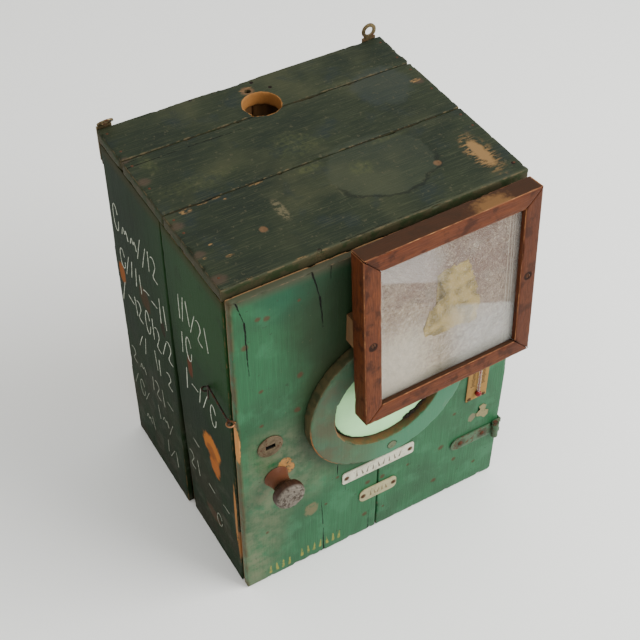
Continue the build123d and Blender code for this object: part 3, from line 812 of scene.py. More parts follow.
def door_paint():
    """Green paint on the door, with its dirt, losses, nails and cracks."""
    colours = paint()
    done = painted_wood("door paint", colours.door_green, colours.door_dark, "Z", 0.42, 0.12)
    front = done.fade(done.y, DOOR_BACK / MM - 1.0, DOOR_BACK / MM - 3.0)
    done.layer(done.blotch(0.5, 0.68, 28.0, 4.0), 0.35, (0.04, 0.18, 0.08), 0.4)
    # old darkened paint near the top, painted shade to the left of and under the picture frame, darker olive
    # round the ring, most on its left, and brown dirt round the knob and along the left edge
    done.layer(done.spot(-76, 398, (44, 30), soft=0.7, ragged=0.7, tear=25.0), 0.9, (0.004, 0.07, 0.032))
    # painted shade: a dark olive patch to the left of and under the picture frame, where the frame's shadow
    # falls
    old = done.spot(-52, 335, (46, 92), soft=0.55, ragged=0.6, tear=30.0)
    done.layer(old, 0.85, (0.014, 0.024, 0.008), 0.6)
    away = done.distance(RING_MIDDLE / MM)
    near_ring = done.fade(away, RING_RADIUS / MM + 30, RING_RADIUS / MM - 4)
    halo = done.both(near_ring, done.fade(done.x, 60.0, -60.0))
    done.layer(halo, 0.62, (0.03, 0.038, 0.016), 0.65)
    for x, z, wide, high, share in ((-112, 168, 34, 40, 0.55), (-134, 92, 26, 80, 0.5),
                                    (-146, 20, 16, 60, 0.6), (-120, 212, 24, 24, 0.45),
                                    (-96, 130, 40, 26, 0.35)):
        mask = done.spot(x, z, (wide, high), soft=0.65, ragged=0.7, tear=16.0)
        done.layer(done.patchy(mask, 11.0, 0.25, 0.7), share, (0.17, 0.17, 0.1), 0.62)
    done.layer(done.fade(done.z, 396.0, 408.0), 0.85, (0.055, 0.048, 0.028), 0.7)
    edge = done.fade(done.x, -148.0, -152.0)
    done.layer(done.patchy(edge, 20.0, 0.35, 0.6), 0.8, (0.09, 0.06, 0.028), 0.7)
    done.layer(done.flakes(7.0, 0.62), 0.5, (0.02, 0.03, 0.015), 0.7, -0.08)
    done.layer(done.flakes(3.0, 0.66), 0.7, (0.13, 0.1, 0.05), 0.75, -0.1)
    nail_rust(done, ((-127, 379), (-119, 376), (-88, 382), (-88, 290), (-127, 290), (-128, 244), (-91, 245),
                     (-60, 81), (-11, 84), (7, 82), (38, 81), (79, 83), (92, 129), (126, 30), (74, 31),
                     (10, 29), (-13, 31), (98, 52), (-127, 80), (-140, 352), (-47, 116), (134, 330),
                     (118, 392), (20, 392)))
    # losses down to the wood
    chip = done.either(done.spot(-105, 175, (7, 8), ragged=1.6), done.spot(-100, 167, (4.5, 8), ragged=1.6))
    done.layer(chip, 0.7, (0.05, 0.05, 0.03), 0.7, -0.1)
    done.layer(done.patchy(chip, 3.0, 0.3, 0.5), 1.0, (0.44, 0.21, 0.06), 0.7, -0.35)
    filler = done.spot(-77, 84, (7.5, 9.5), ragged=1.6, soft=0.2, tear=4.0)
    done.layer(done.patchy(filler, 4.0, 0.25, 0.5), 0.85, (0.15, 0.125, 0.065), 0.75, 0.12)
    done.layer(done.spot(-152.5, 229, (2.2, 26), ragged=1.2), 1.0, colours.bright_pine, 0.7, -0.2)
    done.layer(done.spot(116, 109, (5, 6), ragged=1.5), 1.0, (0.15, 0.14, 0.08), 0.7, -0.1)
    for x, z, count in ((-114, 14.5, 4), (-66, 18.0, 7)):
        for index in range(count):
            place = x + (index - (count - 1) / 2) * 7.4
            lean = 0.5 * math.sin(index * 1.9)
            mark = done.line(on_door(place + lean, z - 5.5), on_door(place - lean, z + 5.5), 3.4, 2.4)
            done.layer(done.patchy(mark, 3.0, 0.34, 0.54), 0.8, (0.32, 0.27, 0.045), 0.6)
    # painted shade: black inside the keyhole under the escutcheon, where the walls of the hole would
    # otherwise show green
    keyhole_shade = done.spot(-120.5, 211.6, (7.5, 5.5), soft=0.1)
    done.layer(keyhole_shade, 1.0, CRACK_AND_SHADE_BLACK, 0.9)
    for width, points in ((1.7, ((-147, 409), (-139.5, 381), (-137.5, 316))),
                          (1.9, ((-76, 409), (-68, 376), (-64.5, 338))), (0.8, ((-57, 409), (-58, 384))),
                          (1.7, ((-62.4, -4), (-63.4, 50))), (1.1, ((-63.4, 50), (-66, 94))),
                          (1.2, ((-8.5, -4), (-8, 34))), (1.3, ((-47, 136), (-48, 112))),
                          (0.7, ((-38, 98), (-37.5, 86)))):
        crack(done, width, points)
    done.layer(done.worn_arris(0.72, 1.1, 9.0), 1.0, (0.12, 0.085, 0.045), 0.75, -0.1)
    bare_inside(done, done.math("SUBTRACT", 1.0, front))
    return done.close()


def ring_paint():
    """The ring's face keeps its paint; its walls are brown with handled dirt."""
    colours = paint()
    done = painted_wood("ring paint", colours.ring_green, (0.035, 0.085, 0.052), "Z", 0.45, 0.12)
    done.layer(done.fade(done.math("SUBTRACT", done.x, done.z), -230.0, -120.0), 0.7, (0.05, 0.19, 0.1))
    done.layer(done.flakes(9.0, 0.56, 0.2), 0.4, (0.15, 0.2, 0.13), 0.5)
    dirty = done.both(done.fade(done.x, 10.0, -60.0), done.blotch(0.3, 0.62, 22.0, 5.0))
    done.layer(dirty, 0.75, (0.085, 0.075, 0.042), 0.65)
    away = done.distance(RING_MIDDLE / MM)
    outer = done.fade(away, RING_RADIUS / MM - 1.3, RING_RADIUS / MM - 0.4)
    inner = done.fade(away, PANEL_RADIUS / MM + 2.6, PANEL_RADIUS / MM + 1.6)
    done.layer(done.either(outer, inner), 1.0, (0.085, 0.07, 0.03), 0.72)
    done.layer(done.both(inner, done.blotch(0.4, 0.62, 9.0, 5.0)), 1.0, (0.14, 0.075, 0.03), 0.72)
    done.layer(done.both(outer, done.blotch(0.45, 0.62, 14.0, 5.0)), 1.0, (0.045, 0.05, 0.022), 0.7)
    done.layer(done.flakes(3.0, 0.65), 1.0, (0.09, 0.075, 0.04), 0.75, -0.1)
    low_left = done.both(done.fade(done.x, -36.0, -62.0), done.fade(done.z, 232.0, 200.0))
    done.layer(done.both(done.worn_arris(0.5, 0.7, 8.0), low_left), 1.0, (0.36, 0.14, 0.045), 0.7, -0.2)
    done.layer(done.worn_arris(0.66, 0.9, 8.0), 0.75, (0.14, 0.11, 0.055), 0.72, -0.1)
    crack(done, 0.8, ((-10, 306), (-14, 280)), lambda x, z: (x, RING_FACE, z))
    return done.close(Specular_IOR_Level=0.12)


def top_paint():
    """Dark weathered paint on the top, stained and scratched."""
    colours = paint()

    def spot(x, y, wide, deep, **shape):
        return done.spot(x, TOP_SPOTS, (wide, deep, DEEP), y=y, **shape)

    done = painted_wood("top paint", colours.top_green, (0.012, 0.018, 0.012), "X", 0.62, 0.22)
    done.layer(done.blotch(0.48, 0.7, 85.0, 3.0), 0.8, (0.046, 0.05, 0.024), 0.6)
    done.layer(done.blotch(0.53, 0.7, 38.0, 5.0), 0.7, (0.016, 0.024, 0.022), 0.66)
    done.layer(done.fade(done.grain(0.8)[0], 0.55, 0.85), 0.3, (0.075, 0.08, 0.042), 0.66)
    # stains left by wet pots
    stain = spot(44, -50, 50, 42, ragged=0.5, soft=0.05, tear=30.0)
    rim = done.math("SUBTRACT", spot(44, -50, 52, 44, ragged=0.5, soft=0.04, tear=30.0), stain)
    done.layer(stain, 0.3, (0.046, 0.055, 0.036), 0.55)
    lower_rim = done.both(rim, done.fade(done.y, -52.0, -70.0))
    done.layer(lower_rim, 0.85, (0.006, 0.008, 0.006), 0.6)
    blue = spot(108, 50, 30, 30, ragged=0.9, soft=0.18, tear=22.0)
    done.layer(blue, 0.4, (0.036, 0.045, 0.042), 0.55)
    for x, y, wide, deep, share in ((-134, 52, 6, 14, 0.5), (27, -46, 12, 9, 0.5), (-8, 12, 22, 18, 0.4),
                                    (-14, -24, 14, 5, 0.6), (70, -21, 16, 4, 0.4), (-110, 8, 40, 10, 0.3)):
        mask = spot(x, y, wide, deep, soft=0.5, ragged=1.0, tear=8.0)
        done.layer(done.patchy(mask, 5.0, 0.35, 0.62), share * 0.6, (0.09, 0.1, 0.035), 0.65)
    # scuffs and scratches
    done.layer(done.flakes(5.0, 0.6), 0.55, (0.075, 0.07, 0.04), 0.7)
    done.layer(done.flakes(2.2, 0.67), 0.8, (0.16, 0.13, 0.08), 0.75, -0.05)
    done.layer(done.line((-6, -50, TOP_SPOTS), (-11, -112, TOP_SPOTS), 2.4, 3.0), 0.55, (0.085, 0.085, 0.05))
    scuff = spot(-63, -60, 5, 15, ragged=1.4, soft=0.3, tear=4.0)
    done.layer(done.patchy(scuff, 4.0, 0.42, 0.55), 0.8, (0.13, 0.11, 0.06), 0.7)
    for x, y, reach in ((-148, 32, 6), (-149, -35, 6), (-148, -76, 5), (-148, -110, 7), (-150, 68, 5),
                        (143, 38, 5)):
        mask = spot(x, y, reach, reach * 0.8, soft=0.5, ragged=1.0)
        done.layer(mask, 0.55, (0.08, 0.05, 0.035), 0.7)
    # bare wood
    across = vector_calc(done.tree, "MULTIPLY", done.place, (0.28, 1.0, 1.0))
    torn = done.blotch(0.5, 0.56, 3.4, 5.0, 0.7, across)
    patch = spot(129, -83, 11, 27, ragged=1.0, soft=0.5, tear=9.0)
    core = spot(130, -82, 6, 20, ragged=1.2, soft=0.3, tear=7.0)
    bare = done.either(done.both(patch, torn), core)
    chips = ((-133.5, -21.5, 5, 4.5), (-116, -19, 5, 1.6), (-103, -18.5, 4, 1.3), (-65, -19, 6, 1.6),
             (-97, -23.5, 1.6, 1.2), (-134, -69, 2, 1.6), (-127, -89, 3.5, 1.8), (-146, -82, 1.8, 1.4),
             (-126, -121, 4, 1.2), (-78, -121, 5, 1.4), (-60, -122, 7, 1.2), (140, 40, 5, 3),
             (-6, 109, 7, 2.2))
    small = [spot(x, y, wide, deep * 0.8, ragged=1.5, soft=0.3, tear=3.0) for x, y, wide, deep in chips]
    splintered = done.blotch(0.44, 0.54, 1.8, 4.0, 0.7, across)
    bare = done.either(bare, done.both(done.either(*small), splintered))
    done.layer(bare, 0.85, (0.27, 0.155, 0.06), 0.72, -0.3)
    for x, y, reach in ((-87.8, -74.8, 3.6), (87.8, -74.8, 3.6), (-6.1, 105.6, 6.2)):
        mask = spot(x, y, reach, reach, ragged=0.7, soft=0.25, tear=3.0)
        done.layer(mask, 0.7, (0.16, 0.085, 0.04), 0.7, -0.2)
    for x, y in ((15.5, 100.6), (3.5, 116), (-59.5, 120.4), (145.5, -108.4), (-60.5, -120.6)):
        mask = spot(x, y, 1.9, 1.9, ragged=0.3, soft=0.2, tear=2.0)
        done.layer(mask, 1.0, HOLE_BLACK, 0.8, -0.7)
    for width, points in ((0.9, ((-153, 57), (-92, 57.5), (-28, 56))), (0.6, ((-153, 64.5), (-128, 63.5))),
                          (0.9, ((-40, -120.6), (90, -119.4))), (0.8, ((-153, -120.8), (-96, -120.4)))):
        crack(done, width, points, on_top)
    # seams, edges and the sawn hole
    for seam in (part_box("top_middle_board")[0].y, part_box("top_rear_board")[0].y):
        gap = done.math("ABSOLUTE", done.math("SUBTRACT", done.y, seam / MM - 0.2))
        done.layer(done.fade(gap, 1.5, 0.5), 1.0, CRACK_AND_SHADE_BLACK, 0.9)
    done.layer(done.fade(done.y, -118.5, -122.0), 0.6, (0.062, 0.066, 0.034), 0.65)
    side = done.fade(done.up, 0.6, 0.3)
    done.layer(side, 0.75, (0.05, 0.043, 0.02), 0.7)
    done.layer(done.both(side, done.blotch(0.46, 0.62, 12.0, 5.0)), 0.8, (0.02, 0.034, 0.012), 0.7)
    done.layer(done.worn_arris(0.62, 1.1, 8.0), 0.8, (0.11, 0.085, 0.042), 0.72, -0.1)
    reach = done.distance(HOLE_MIDDLE, (1.0, 1.0, 0.0))
    ragged = done.math("MULTIPLY_ADD", done.math("SUBTRACT", done.cloud(4.0, 4.0), 0.5), 3.0, reach)
    done.layer(done.fade(ragged, HOLE_REACH + 0.7, HOLE_REACH), 1.0, (0.3, 0.13, 0.035), 0.75)
    bare_inside(done, done.fade(done.z, TOP_UNDER / MM + 0.8, TOP_UNDER / MM + 0.2))
    return done.close(Specular_IOR_Level=0.1)


def side_paint(name, outer_x, bare_behind=True):
    """Very dark paint on the sides, greener near the front of the top."""
    colours = paint()
    done = painted_wood(name, colours.side_green, (0.006, 0.014, 0.006), "Z", 0.55, 0.16)
    fresh = done.both(done.fade(done.z, 190.0, 330.0), done.fade(done.y, 60.0, -70.0))
    done.layer(fresh, 0.75 if outer_x < 0 else 0.25, (0.007, 0.05, 0.007), 0.5)
    dirty = done.both(done.fade(done.z, 210.0, 60.0), done.blotch(0.35, 0.65, 34.0, 4.0))
    done.layer(dirty, 0.7, (0.026, 0.024, 0.013), 0.66)
    done.layer(done.flakes(26.0, 0.52, 0.2), 0.4, (0.013, 0.016, 0.008), 0.6)
    done.layer(done.flakes(6.0, 0.62), 0.5, (0.05, 0.05, 0.03), 0.7)
    done.layer(done.flakes(2.4, 0.68), 0.7, (0.1, 0.08, 0.04), 0.75, -0.05)
    done.layer(done.fade(done.z, 384.0, 398.0), 0.6, (0.045, 0.038, 0.016), 0.7)
    if outer_x < 0:
        for y, z, deep, high, share, colour in (
                (-76, 166, 17, 16, 1.0, (0.4, 0.13, 0.02)), (-80, 143, 10, 15, 1.0, (0.33, 0.1, 0.018)),
                (106, 250, 7, 13, 0.9, (0.25, 0.075, 0.015)), (-42, 250, 5, 15, 0.8, (0.11, 0.03, 0.014)),
                (52, 258, 12, 14, 0.7, (0.06, 0.03, 0.014)), (12, 252, 5, 10, 0.7, (0.03, 0.018, 0.01)),
                (-66, 48, 16, 8, 0.45, (0.1, 0.05, 0.03)), (-119, 110, 2.2, 44, 0.95, (0.36, 0.16, 0.05)),
                (-122, 60, 1.8, 22, 0.8, (0.28, 0.12, 0.04))):
            mask = done.spot(SIDE_FACE, z, (FAR, deep, high), y=y, ragged=1.1, soft=0.2, tear=9.0)
            done.layer(mask, share, colour, 0.72, -0.15)
        old = done.spot(SIDE_FACE, 158, (FAR, 10, 9), y=-74, ragged=1.5, soft=0.3, tear=7.0)
        done.layer(old, 0.7, (0.16, 0.05, 0.012))
        dust = done.both(done.blotch(0.48, 0.66, 16.0, 6.0, 0.7), done.fade(done.z, 200.0, 110.0))
        done.layer(dust, 0.3, (0.1, 0.1, 0.08), 0.8)
    done.layer(done.worn_arris(0.66, 1.1, 9.0), 0.7, (0.11, 0.07, 0.03), 0.72, -0.1)
    if bare_behind:
        outward = done.both(done.x, math.copysign(1.0, outer_x))
        bare_inside(done, done.fade(outward, WALL_INSIDE + 0.5, WALL_INSIDE))
    return done.close(Specular_IOR_Level=0.05)


def bare_wood(name, grain, colour=None):
    """Unpainted softwood, darkened in patches."""
    colours = paint()
    done = Finish(name, colour or colours.pine, 0.78, grain)
    fibre, figure = done.grain(1.2)
    done.layer(figure, 0.3, colours.old_pine, lift=-0.04)
    done.layer(fibre, 0.25, colours.bright_pine, lift=0.05)
    done.layer(done.blotch(0.45, 0.7, 40.0, 4.0), 0.5, colours.old_pine, 0.85)
    done.layer(done.flakes(3.0, 0.64), 0.5, colours.old_pine)
    return done.close()


def frame_wood(name, grain):
    """Reddish varnished wood, worn pale on the front arrises and dirty on top."""
    colours = paint()
    done = Finish(name, colours.mahogany, 0.42, grain)
    fibre, figure = done.grain(1.0)
    done.layer(figure, 0.3, (0.05, 0.014, 0.008), lift=-0.03)
    done.layer(done.blotch(0.42, 0.68, 30.0, 4.0), 0.6, (0.16, 0.045, 0.012), 0.45)
    done.layer(done.math("SUBTRACT", 1.0, fibre), 0.6, (0.03, 0.01, 0.006), 0.6, -0.12)
    done.layer(done.blotch(0.5, 0.66, 14.0, 5.0), 0.7, (0.03, 0.01, 0.005), 0.6)
    done.layer(done.fade(done.x, 105.0, 138.0), 0.45, (0.045, 0.013, 0.006), 0.5)
    done.layer(done.fade(done.up, 0.5, 0.9), 0.85, (0.034, 0.017, 0.008), 0.7)
    tan = done.spot(92, 420, (18, 16, 60), y=-155, ragged=1.6, soft=0.4, tear=7.0)
    done.layer(done.both(done.fade(done.up, 0.5, 0.9), tan), 0.75, (0.2, 0.1, 0.035), 0.7)
    done.layer(done.flakes(2.5, 0.66), 0.7, (0.02, 0.01, 0.006), 0.7)
    for x, z in FRAME_SCREWS:
        done.layer(done.spot(x, z, (4.6, 4.6), soft=0.2, ragged=0.3, tear=2.0), 0.9, HOLE_BLACK, 0.8)
    done.layer(done.worn_arris(0.55, 0.9, 14.0), 0.55, (0.2, 0.07, 0.028), 0.6)
    done.layer(done.worn_arris(0.78, 0.8, 10.0), 0.9, (0.46, 0.22, 0.085), 0.65, -0.1)
    return done.close(Specular_IOR_Level=0.1)


def knob_wood():
    """Dark turned wood with a greyed, ridged face and a redder neck."""
    colours = paint()
    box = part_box("knob")
    face = box[0].y / MM
    done = Finish("knob wood", (0.05, 0.022, 0.012), 0.42, "Y")
    figure = done.grain(0.9)[1]
    done.layer(figure, 0.4, (0.016, 0.009, 0.006), lift=-0.05)
    done.layer(done.fade(done.y, face + 14.0, face + 22.0), 0.8, (0.15, 0.05, 0.022), 0.55)
    worn = done.fade(done.y, face + 5.0, face + 2.0)
    away = done.distance((box[0] + box[1]) / 2 / MM)
    done.layer(done.patchy(worn, 3.0, 0.2, 0.55), 0.85, (0.2, 0.175, 0.14), 0.6)
    ridges = done.fade(done.math("SINE", done.both(away, 2.6)), 0.35, 0.95)
    done.layer(done.both(worn, ridges), 0.45, (0.09, 0.07, 0.055), 0.7, -0.2)
    done.layer(done.both(worn, done.flakes(3.2, 0.5, 0.08)), 1.0, (0.06, 0.045, 0.032), 0.7, -0.25)
    done.layer(done.flakes(2.0, 0.64), 0.7, colours.grime, 0.7)
    return done.close()


# ---- metal, glass, paper ------------------------------------------------------------
def old_metal(name, colour, rust_share, rough=0.45, metallic=1.0, size=5.0):
    """Metal dulled by age, with rust or dirt in patches."""
    colours = paint()
    done = Finish(name, colour, rough)
    done.layer(done.blotch(0.4, 0.66, size, 5.0, 0.65), 0.6, tuple(0.45 * c for c in colour), rough + 0.2,
               -0.03)
    rusty = done.blotch(0.62 - 0.3 * rust_share, 0.72 - 0.3 * rust_share, size * 1.7, 6.0, 0.7)
    done.layer(rusty, 1.0, colours.rust, 0.85, 0.06)
    feed(done.tree, done.shader.inputs["Metallic"], blend_value(done.tree, rusty, metallic, 0.0))
    return done.close()


def hinge_paint():
    """Green paint over iron, rubbed through to rust."""
    colours = paint()
    done = Finish("hinge paint", (0.05, 0.11, 0.055), 0.5)
    done.layer(done.blotch(0.42, 0.62, 9.0, 5.0, 0.65), 0.6, (0.085, 0.1, 0.06), 0.6, -0.04)
    done.layer(done.flakes(4.5, 0.53, 0.08), 0.85, colours.rust, 0.8, -0.06)
    for x, z in STRAP_SCREWS:
        ring = done.spot(x, z, (6.5, 6.5), ragged=0.7, soft=0.35, tear=3.0)
        done.layer(ring, 0.7, (0.05, 0.035, 0.022), 0.8)
    done.layer(done.worn_arris(0.9, 0.2, 5.0), 0.6, colours.rust, 0.7)
    return done.close()


def plate_enamel(name, colour):
    """Pale plate with rubbed marks in a row; they spell nothing."""
    done = Finish(name, colour, 0.45)
    done.layer(done.blotch(0.45, 0.68, 8.0, 5.0, 0.65), 0.6, tuple(0.55 * c for c in colour), 0.6)
    done.layer(done.flakes(2.4, 0.6), 0.7, (0.14, 0.1, 0.05), 0.7)
    return done


def stamped(done, x, z, count, pitch, high, colour, screws):
    """A row of worn upright dashes, and dirt round the plate's screws."""
    for side in screws:
        done.layer(done.spot(side, z, (3.1, 3.1), soft=0.3, ragged=0.5, tear=2.0), 0.9, (0.05, 0.03, 0.018),
                   0.8)
    for index in range(count):
        place = x + (index - (count - 1) / 2) * pitch
        tilt = 0.9 * math.sin(index * 2.1)
        mark = done.line((place + tilt, PLATE_FACE, z - high / 2), (place - tilt, PLATE_FACE, z + high / 2),
                         2.1, 1.6)
        done.layer(done.patchy(mark, 2.2, 0.2, 0.45), 0.95, colour, 0.6, -0.1)


def mint_paint():
    """Pale paint on the round panel, with a dark line at its edge."""
    colours = paint()
    done = Finish("mint paint", colours.mint, 0.6)
    done.layer(done.blotch(0.42, 0.7, 24.0, 4.0), 0.35, tuple(0.8 * c for c in colours.mint))
    done.layer(done.flakes(1.6, 0.66), 0.4, (0.22, 0.33, 0.2), 0.7, -0.05)
    away = done.distance(RING_MIDDLE / MM)
    ragged = done.math("MULTIPLY_ADD", done.math("SUBTRACT", done.cloud(5.0, 4.0), 0.5), 2.4, away)
    edge = done.fade(ragged, PANEL_RADIUS / MM - 1.6, PANEL_RADIUS / MM - 0.4)
    done.layer(edge, 1.0, (0.01, 0.012, 0.008), 0.8, -0.2)
    return done.close()


def card_paper():
    """Yellowed card with rubbed edges."""
    done = Finish("thermometer card", (0.3, 0.17, 0.055), 0.75)
    done.layer(done.blotch(0.45, 0.66, 7.0, 5.0, 0.65), 0.7, (0.22, 0.14, 0.05), 0.8)
    done.layer(done.flakes(2.0, 0.6), 0.7, (0.1, 0.06, 0.025), 0.8, -0.05)
    done.layer(done.worn_arris(0.6, 0.6, 4.0), 0.6, (0.14, 0.09, 0.04), 0.8)
    return done.close(Specular_IOR_Level=0.05)


def backing_paper():
    """Mottled silvery paper behind the glass."""
    done = Finish("mottled backing", (0.34, 0.255, 0.19), 0.6)
    across, _, up = done.offset(FRAME_MIDDLE)
    warm = done.fade(done.math("ADD", across, up), 20.0, -70.0)
    done.layer(warm, 0.75, (0.5, 0.4, 0.26), 0.6)
    mauve = done.fade(done.math("SUBTRACT", up, done.both(across, -0.3)), -5.0, 50.0)
    done.layer(mauve, 0.6, (0.24, 0.16, 0.13), 0.6)
    silver = done.both(done.fade(up, -18.0, -45.0), done.fade(across, -20.0, 40.0))
    done.layer(silver, 0.7, (0.42, 0.42, 0.4), 0.5)
    done.layer(done.blotch(0.43, 0.6, 4.6, 6.0, 0.8), 0.7, (0.15, 0.085, 0.05), 0.7)
    done.layer(done.blotch(0.54, 0.66, 1.7, 3.0, 0.7), 0.6, (0.85, 0.75, 0.55), 0.5)
    done.layer(done.blotch(0.5, 0.68, 18.0, 5.0), 0.4, (0.2, 0.17, 0.13), 0.65)
    done.layer(done.fade(up, -62.0, -76.0), 0.85, (0.13, 0.11, 0.055), 0.7)
    blotch = done.both(done.blotch(0.42, 0.6, 26.0, 5.0, 0.6), done.fade(up, -30.0, 10.0))
    done.layer(blotch, 0.55, (0.2, 0.115, 0.085), 0.6)
    pale_corner = done.both(done.fade(across, 5.0, -45.0), done.fade(up, 20.0, -35.0))
    done.layer(pale_corner, 0.5, (0.8, 0.74, 0.6), 0.6)
    for inset in (66.0, 69.5, 72.0):
        line = done.fade(done.math("ABSOLUTE", done.math("SUBTRACT", across, inset)), 0.7, 0.2)
        done.layer(line, 0.6, (0.6, 0.55, 0.42), 0.6)
    return done.close(tone=0.52, Specular_IOR_Level=0.05)


def torn_paper():
    """Brown-stained paper behind the glass."""
    done = Finish("torn paper", (0.33, 0.24, 0.085), 0.75)
    done.layer(done.blotch(0.42, 0.6, 13.0, 5.0), 0.85, (0.16, 0.115, 0.035), 0.8)
    done.layer(done.flakes(4.0, 0.6), 0.6, (0.46, 0.38, 0.2), 0.75)
    return done.close(tone=0.7, Specular_IOR_Level=0.05)


def pane_glass():
    """Old dusty glass: mostly clear, with dust and two pale slanting painted reflections."""
    done = Finish("dusty glass", (0.86, 0.85, 0.8), 0.12)
    across, _, up = done.offset(FRAME_MIDDLE)
    # painted reflections: two pale slanting bands, at the upper left and the lower right, that raise the
    # glass's cover
    slant = done.math("MULTIPLY_ADD", across, 0.42, up)
    upper_painted_reflection = done.both(done.fade(slant, 27.0, 29.0), done.fade(across, 4.0, -30.0))
    lower_painted_reflection = done.both(done.fade(slant, 1.0, -1.0), done.fade(across, -8.0, 24.0))
    dust = done.blotch(0.5, 0.66, 1.6, 5.0, 0.75)
    rim = done.fade(done.math("ABSOLUTE", across), 66.0, 78.0)
    cover = done.math("MULTIPLY_ADD", done.either(upper_painted_reflection, lower_painted_reflection), 0.1, 0.02)
    cover = done.math("MULTIPLY_ADD", dust, 0.1, cover)
    cover = done.math("MULTIPLY_ADD", rim, 0.08, cover)
    return done.close(Alpha=cover, Specular_IOR_Level=0.6)


def clear_glass():
    """Thin clear glass of the tube."""
    done = Finish("tube glass", (0.95, 0.96, 0.95), 0.05)
    done.layer(done.blotch(0.5, 0.7, 6.0, 4.0), 0.4, rough=0.2)
    return done.close(tone=0.5, Alpha=0.16, Specular_IOR_Level=0.8)


def floor_plaster():
    """Pale floor with very faint unevenness."""
    done = Finish("pale floor", bpy.context.scene.nest_stage.floor, 0.75)
    done.layer(done.blotch(0.4, 0.7, 420.0, 4.0), 0.05, (0.72, 0.72, 0.69))
    done.layer(done.flakes(9.0, 0.6, 0.1), 0.04, (0.7, 0.7, 0.68), lift=-0.1)
    return done.close(tone=1.0)


# ---- operators ---------------------------------------------------------------------
class NESTBOX_OT_stage(bpy.types.Operator):
    """Camera, pale floor and soft light"""
    bl_idname = "nestbox.stage"
    bl_label = "Stage"

    def execute(self, context):
        stage = context.scene.nest_stage
        view = bpy.data.cameras.new("view")
        view.lens = stage.lens
        view.sensor_width = 36.0
        camera = bpy.data.objects.new("view", view)
        context.scene.collection.objects.link(camera)
        look = (Vector(stage.aim) - Vector(stage.eye)).to_track_quat("-Z", "Y").to_matrix()
        look = look @ Matrix.Rotation(stage.roll, 3, "Z")
        camera.matrix_world = Matrix.Translation(stage.eye) @ look.to_4x4()
        context.scene.camera = camera

        extent = 6.0
        corners = [(-extent, -extent, 0), (extent, -extent, 0), (extent, extent, 0), (-extent, extent, 0)]
        mesh = bpy.data.meshes.new("floor")
        mesh.from_pydata(corners, [], [(0, 1, 2, 3)])
        mesh.materials.append(floor_plaster())
        link_piece("floor", mesh)

        lamp = bpy.data.lights.new("key", "AREA")
        lamp.shape = "RECTANGLE"
        lamp.size = 1.8
        lamp.size_y = 1.4
        lamp.energy = stage.key_power
        key = bpy.data.objects.new("key", lamp)
        context.scene.collection.objects.link(key)
        place = Vector((1.35, -1.15, 1.5))
        aim = (Vector((0.4, -0.3, 0.0)) - place).to_track_quat("-Z", "Y")
        key.matrix_world = Matrix.Translation(place) @ aim.to_matrix().to_4x4()

        world = bpy.data.worlds.new("soft sky")
        world.use_nodes = True
        background = world.node_tree.nodes["Background"]
        background.inputs["Color"].default_value = (1.0, 1.0, 0.985, 1.0)
        background.inputs["Strength"].default_value = stage.sky
        context.scene.world = world
        return {"FINISHED"}


class NESTBOX_OT_top(bpy.types.Operator):
    """Three weathered boards of the top"""
    bl_idname = "nestbox.top"
    bl_label = "Top boards"

    def execute(self, context):
        material = top_paint()
        for index, name in enumerate(("top_front_board", "top_middle_board", "top_rear_board")):
            worn_wood(name, material, "case", "green_paint_top", wear().board_grid, "X", seed=index)
        return {"FINISHED"}


class NESTBOX_OT_sides(bpy.types.Operator):
    """Weathered boards of both sides, the tongue between the left ones and the rear rail"""
    bl_idname = "nestbox.sides"
    bl_label = "Side boards"

    def execute(self, context):
        for side in ("left", "right"):
            outer = LEFT_FACE if side == "left" else -LEFT_FACE
            material = side_paint(side + " side paint", outer)
            grid = wear().board_grid * (1.0 if side == "left" else 1.4)
            for index, part in enumerate(("front", "rear")):
                name = side + "_" + part + "_board"
                worn_wood(name, material, "case", "green_paint_side", grid, "Z", chips=0.35,
                          seed=10 + index)
            if side == "right":
                rail_material = side_paint("rail paint", outer, bare_behind=False)
                worn_wood("hanging_rail", rail_material, "case", "green_paint_side", grid, "X",
                          seed=14)
        finish_nodes(bare_wood("tongue wood", "Z", (0.09, 0.035, 0.018)), "left_board_tongue")
        return {"FINISHED"}


class NESTBOX_OT_inside(bpy.types.Operator):
    """Bare boards and battens of the back, the floor and the inside"""
    bl_idname = "nestbox.inside"
    bl_label = "Inside and back"

    def execute(self, context):
        upright = bare_wood("bare boards upright", "Z")
        level = bare_wood("bare boards level", "X")
        deep = bare_wood("bare battens deep", "Y")
        grid = wear().board_grid * 1.7
        for index, name in enumerate(("back_left_board", "back_right_board")):
            worn_wood(name, upright, "case", "bare_wood", grid, "Z", seed=20 + index)
        worn_wood("bottom_board", level, "case", "bare_wood", grid, "X", seed=23)
        for index, place in enumerate(("left_upper", "left_lower", "right_upper", "right_lower")):
            name = place + "_batten"
            worn_wood(name, deep, "case", "bare_wood", wear().board_grid, "Y", seed=24 + index)
        for index, place in enumerate(("upper", "lower")):
            name = "door_" + place + "_batten"
            worn_wood(name, level, "door", "bare_wood", wear().board_grid, "X", seed=30 + index)
        worn_wood("latch_keeper", upright, "case", "bare_wood", wear().fine_grid, "Z", seed=32)
        return {"FINISHED"}


class NESTBOX_OT_door(bpy.types.Operator):
    """Two weathered boards of the door"""
    bl_idname = "nestbox.door"
    bl_label = "Door boards"

    def execute(self, context):
        material = door_paint()
        for index, name in enumerate(("door_left_board", "door_right_board")):
            worn_wood(name, material, "door", "green_paint_door", wear().board_grid * 0.95, "Z",
                      chips=0.7, seed=40 + index)
        return {"FINISHED"}


def ring_gaps(points):
    """Distances from a point on the window ring to its walls and faces."""
    away = np.hypot(points[:, 0] - RING_MIDDLE.x, points[:, 2] - RING_MIDDLE.z)
    inner = away.min()
    walls = np.minimum(np.abs(away - inner), np.abs(RING_RADIUS - away))
    faces = points[:, 1] - points[:, 1].min()
    return np.stack([walls, faces], axis=1)


